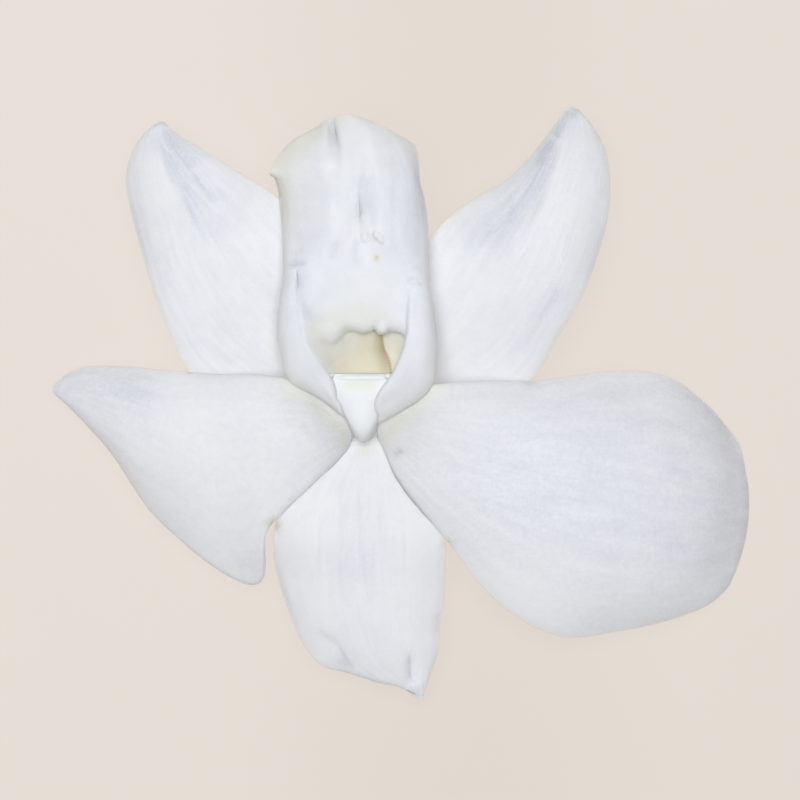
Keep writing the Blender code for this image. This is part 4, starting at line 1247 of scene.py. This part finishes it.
class ORCHID_OT_column(bpy.types.Operator):
    """Builds the column with its foot, and the two teeth beside its anther cap."""

    bl_idname = "orchid.column"
    bl_label = "Build column"

    def execute(self, context):
        # Firmer than the petals, with hardly any pattern, so it looks solid and waxy
        tissue = smooth_tissue(
            "preserved_column_tissue", two_tones(context.scene.orchid_colours.column, 0.97),
            cell=0.8, Roughness=0.45, Subsurface_Weight=0.6, Subsurface_Scale=0.0005,
            Subsurface_Radius=(1.0, 1.0, 1.0),
        )
        rings = column_rings(COLUMN, along=200, count=120)
        x, y, z = (rings[:, :, k] for k in range(3))
        # A shallow dent across the column behind its cap, with cream painted shade in it, and
        # cream painted shade on the column's near end, where it meets the dorsal sepal
        upper = ramp(z, 11.0, 12.4)
        dent = np.exp(-(((y - 1.2) / 0.45) ** 2)) * ramp(-np.abs(x + 3.5), -2.0, -1.2) * upper
        back = ramp(-y, 2.6, 3.9) * upper
        warm = 0.3 * dent + 0.24 * back
        z -= 0.06 * dent
        thing = add_tube(
            "column_body", rings, rings[[0, -1]].mean(axis=1), tissue,
            {"warm": np.append(warm.ravel(), (0.0, 0.0))},
        )
        finish_piece(thing, "column_tissue", "column")
        for side, seat in TEETH.items():
            thing = add_hood(f"column_tooth_{side}", seat, TOOTH_HALF, 12, 24, tissue)
            finish_piece(thing, "column_tissue", "column")
        return {"FINISHED"}


class ORCHID_OT_anther(bpy.types.Operator):
    """Builds the anther cap, and gives the pollinia under it their wax."""

    bl_idname = "orchid.anther"
    bl_label = "Build anther"

    def execute(self, context):
        colours = context.scene.orchid_colours
        # A shade creamier and glossier than the column, so the lid can be told from it
        cap = smooth_tissue(
            "preserved_cap_tissue", two_tones(colours.cap, 0.95), cell=0.5, Roughness=0.4,
            Subsurface_Weight=0.4, Subsurface_Scale=0.0004,
        )
        thing = add_hood("anther_cap_hood", CAP_SEAT, CAP_HALF, 28, 72, cap)
        finish_piece(thing, "cap_tissue", "anther_cap")
        # Soft yellow wax, the glossiest thing in the flower, seen only without the cap
        wax = smooth_tissue(
            "pollen_wax", two_tones(colours.pollen, 0.9), cell=0.15, Roughness=0.35,
            Subsurface_Weight=0.3, Subsurface_Scale=0.0004,
        )
        for number in range(1, POLLINIA + 1):
            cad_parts[f"pollinium_{number}"].material_slots[0].material = wax
        return {"FINISHED"}


class ORCHID_OT_stalk(bpy.types.Operator):
    """Builds the stalk with its ridged ovary and its cut end."""

    bl_idname = "orchid.stalk"
    bl_label = "Build stalk"

    def execute(self, context):
        # Drier and duller than the flower, and faintly blotched in pale green
        material = smooth_tissue(
            "dried_stalk", two_tones(context.scene.orchid_colours.stalk, 0.85), cell=0.6,
            Roughness=0.6, Subsurface_Weight=0.15, Subsurface_Scale=0.0006,
        )
        centres, around = stem_rings(PEDICEL, along=120, count=72)
        steps, count = around.shape[:2]
        turn = np.linspace(0.0, 2.0 * math.pi, count, endpoint=False)
        along = np.linspace(0.0, 1.0, steps)[:, None]
        # The ovary's six ridges run out towards the cut end
        ridges = 1.0 - 0.07 * (1.0 - along) * (0.5 + 0.5 * np.cos(6.0 * turn))[None, :]
        rings = centres[:, None, :] + around * ridges[:, :, None]
        thing = add_tube("stalk", rings, centres[[0, -1]], material)
        finish_piece(thing, "stalk_tissue", "pedicel")
        return {"FINISHED"}


# The paper's bright and dim tones as shares of its colour, and how much darker it gets
# with each metre towards +X and -Y, as a share of the way between them
PAPER_TONES = ((1.04, 1.04, 1.04), (0.925, 0.918, 0.908))
PAPER_SLOPE = (3.1, -3.1, 0.0)


def paper_material(colour):
    """Matt paper that mostly glows evenly by itself and takes only a tenth of its tone
    from the lamps, so that the flower's shadow on it stays faint."""
    material, tree, shader = begin_material(
        "matt_paper", Roughness=0.9, Specular_IOR_Level=0.1,
        Base_Color=(*(0.1 * c for c in colour), 1.0), Emission_Strength=0.92,
    )
    # The light falls off a little across the sheet, and its fibres are just visible.
    place = add_node(tree, "ShaderNodeTexCoord").outputs["Object"]
    fibres = add_node(tree, "ShaderNodeTexNoise", None, {
        "Vector": place, "Scale": 1.0 / (6.0 * MILLIMETRE), "Detail": 3.0, "Roughness": 0.7,
    }).outputs["Fac"]
    across = add_node(tree, "ShaderNodeVectorMath", {"operation": "DOT_PRODUCT"}, {
        0: place, 1: PAPER_SLOPE,
    }).outputs["Value"]
    fall = add_node(tree, "ShaderNodeMath", {"operation": "MULTIPLY_ADD"}, {
        0: fibres, 1: 0.12, 2: across,
    }).outputs[0]
    # A soft fold of shade runs down the sheet just right of the flower's middle.
    sideways = add_node(tree, "ShaderNodeSeparateXYZ", None, {0: place}).outputs["X"]
    offset = add_node(tree, "ShaderNodeMath", {"operation": "SUBTRACT"}, {
        0: sideways, 1: 5.0 * MILLIMETRE,
    }).outputs[0]
    offset = add_node(tree, "ShaderNodeMath", {"operation": "ABSOLUTE"}, {0: offset}).outputs[0]
    shade = add_node(tree, "ShaderNodeMapRange", {"interpolation_type": "SMOOTHSTEP"}, {
        "Value": offset, "From Min": 2.0 * MILLIMETRE, "From Max": 24.0 * MILLIMETRE,
        "To Min": 0.58, "To Max": 0.25,
    }).outputs[0]
    fall = add_node(tree, "ShaderNodeMath", {"operation": "ADD", "use_clamp": True}, {
        0: fall, 1: shade,
    }).outputs[0]
    tones = [tuple(c * share for c, share in zip(colour, tone)) for tone in PAPER_TONES]
    tree.links.new(colour_ramp(tree, fall, tones), shader.inputs["Emission Color"])
    return material


def add_to_scene(scene, name, data):
    """An object of the stage, which belongs to no part of the flower."""
    thing = bpy.data.objects.new(name, data)
    scene.collection.objects.link(thing)
    return thing


def lay_floor(scene, stage):
    """A flat square sheet under the flower."""
    reach = stage.floor_reach
    mesh = bpy.data.meshes.new("floor")
    corners = [(-reach, -reach, 0.0), (reach, -reach, 0.0), (reach, reach, 0.0), (-reach, reach, 0.0)]
    mesh.from_pydata(corners, [], [(0, 1, 2, 3)])
    mesh.materials.append(paper_material(stage.floor))
    floor = add_to_scene(scene, "floor", mesh)


def light(scene, stage):
    """Even light from all round, and one wide round lamp nearly overhead, which leans
    towards the tip of the lip and sits a little to the left."""
    world = bpy.data.worlds.new("soft_fill")
    scene.world = world
    world.use_nodes = True
    background = world.node_tree.nodes["Background"]
    background.inputs["Color"].default_value = (1.0, 1.0, 1.0, 1.0)
    background.inputs["Strength"].default_value = stage.fill_light
    distance, lean = stage.lamp_distance, stage.lamp_lean
    lamp = bpy.data.lights.new("soft_lamp", "AREA")
    lamp.shape = "DISK"
    lamp.size = stage.lamp_size
    # At this power a lamp of share 1 lights a white sheet below it to full white
    lamp.energy = stage.key_light * math.pi**2 * distance**2
    holder = add_to_scene(scene, "soft_lamp", lamp)
    holder.location = (-0.05, distance * math.sin(lean), distance * math.cos(lean))
    holder.rotation_euler = (-lean, 0.0, 0.0)


def place_camera(scene, stage):
    """A camera straight above the flower, which sees DRAWN_VIEW across."""
    camera = bpy.data.cameras.new("camera")
    camera.sensor_width = 36.0
    view_height = stage.camera_height - VIEW_LEVEL
    camera.lens = camera.sensor_width * view_height / (DRAWN_VIEW * UNIT)
    holder = add_to_scene(scene, "camera", camera)
    holder.location = (ORIGIN[0], ORIGIN[1], stage.camera_height)
    scene.camera = holder


class ORCHID_OT_stage(bpy.types.Operator):
    """Lays the floor and sets the lights and the camera."""

    bl_idname = "orchid.stage"
    bl_label = "Set the stage"

    def execute(self, context):
        scene, stage = context.scene, context.scene.orchid_stage
        lay_floor(scene, stage)
        light(scene, stage)
        place_camera(scene, stage)
        scene.view_settings.view_transform = "Standard"
        return {"FINISHED"}


class ORCHID_PT_panel(bpy.types.Panel):
    """Lists the flower's sizes, colours and building steps."""

    bl_label = "Dendrobium orchid"
    bl_space_type = "VIEW_3D"
    bl_region_type = "UI"
    bl_category = "Orchid"

    def draw(self, context):
        for group in GROUPS:
            box = self.layout.box()
            settings = getattr(context.scene, group)
            for key in settings.__annotations__:
                box.prop(settings, key)
        for step in STEPS:
            self.layout.operator(step.bl_idname)


STEPS = (
    ORCHID_OT_petals, ORCHID_OT_sepals, ORCHID_OT_lip, ORCHID_OT_column, ORCHID_OT_anther,
    ORCHID_OT_stalk, ORCHID_OT_stage,
)
GROUPS = {
    "orchid_sizes": OrchidSizes,
    "orchid_colours": OrchidColours,
    "orchid_stage": OrchidStage,
}


def register():
    for kind in (*GROUPS.values(), *STEPS, ORCHID_PT_panel):
        bpy.utils.register_class(kind)
    for key, kind in GROUPS.items():
        setattr(bpy.types.Scene, key, bpy.props.PointerProperty(type=kind))


def unregister():
    for key in GROUPS:
        delattr(bpy.types.Scene, key)
    for kind in (ORCHID_PT_panel, *reversed(STEPS), *GROUPS.values()):
        bpy.utils.unregister_class(kind)


def main():
    register()
    bpy.ops.orchid.petals()
    bpy.ops.orchid.sepals()
    bpy.ops.orchid.lip()
    bpy.ops.orchid.column()
    bpy.ops.orchid.anther()
    bpy.ops.orchid.stalk()
    bpy.ops.orchid.stage()


if __name__ == "__main__":
    main()
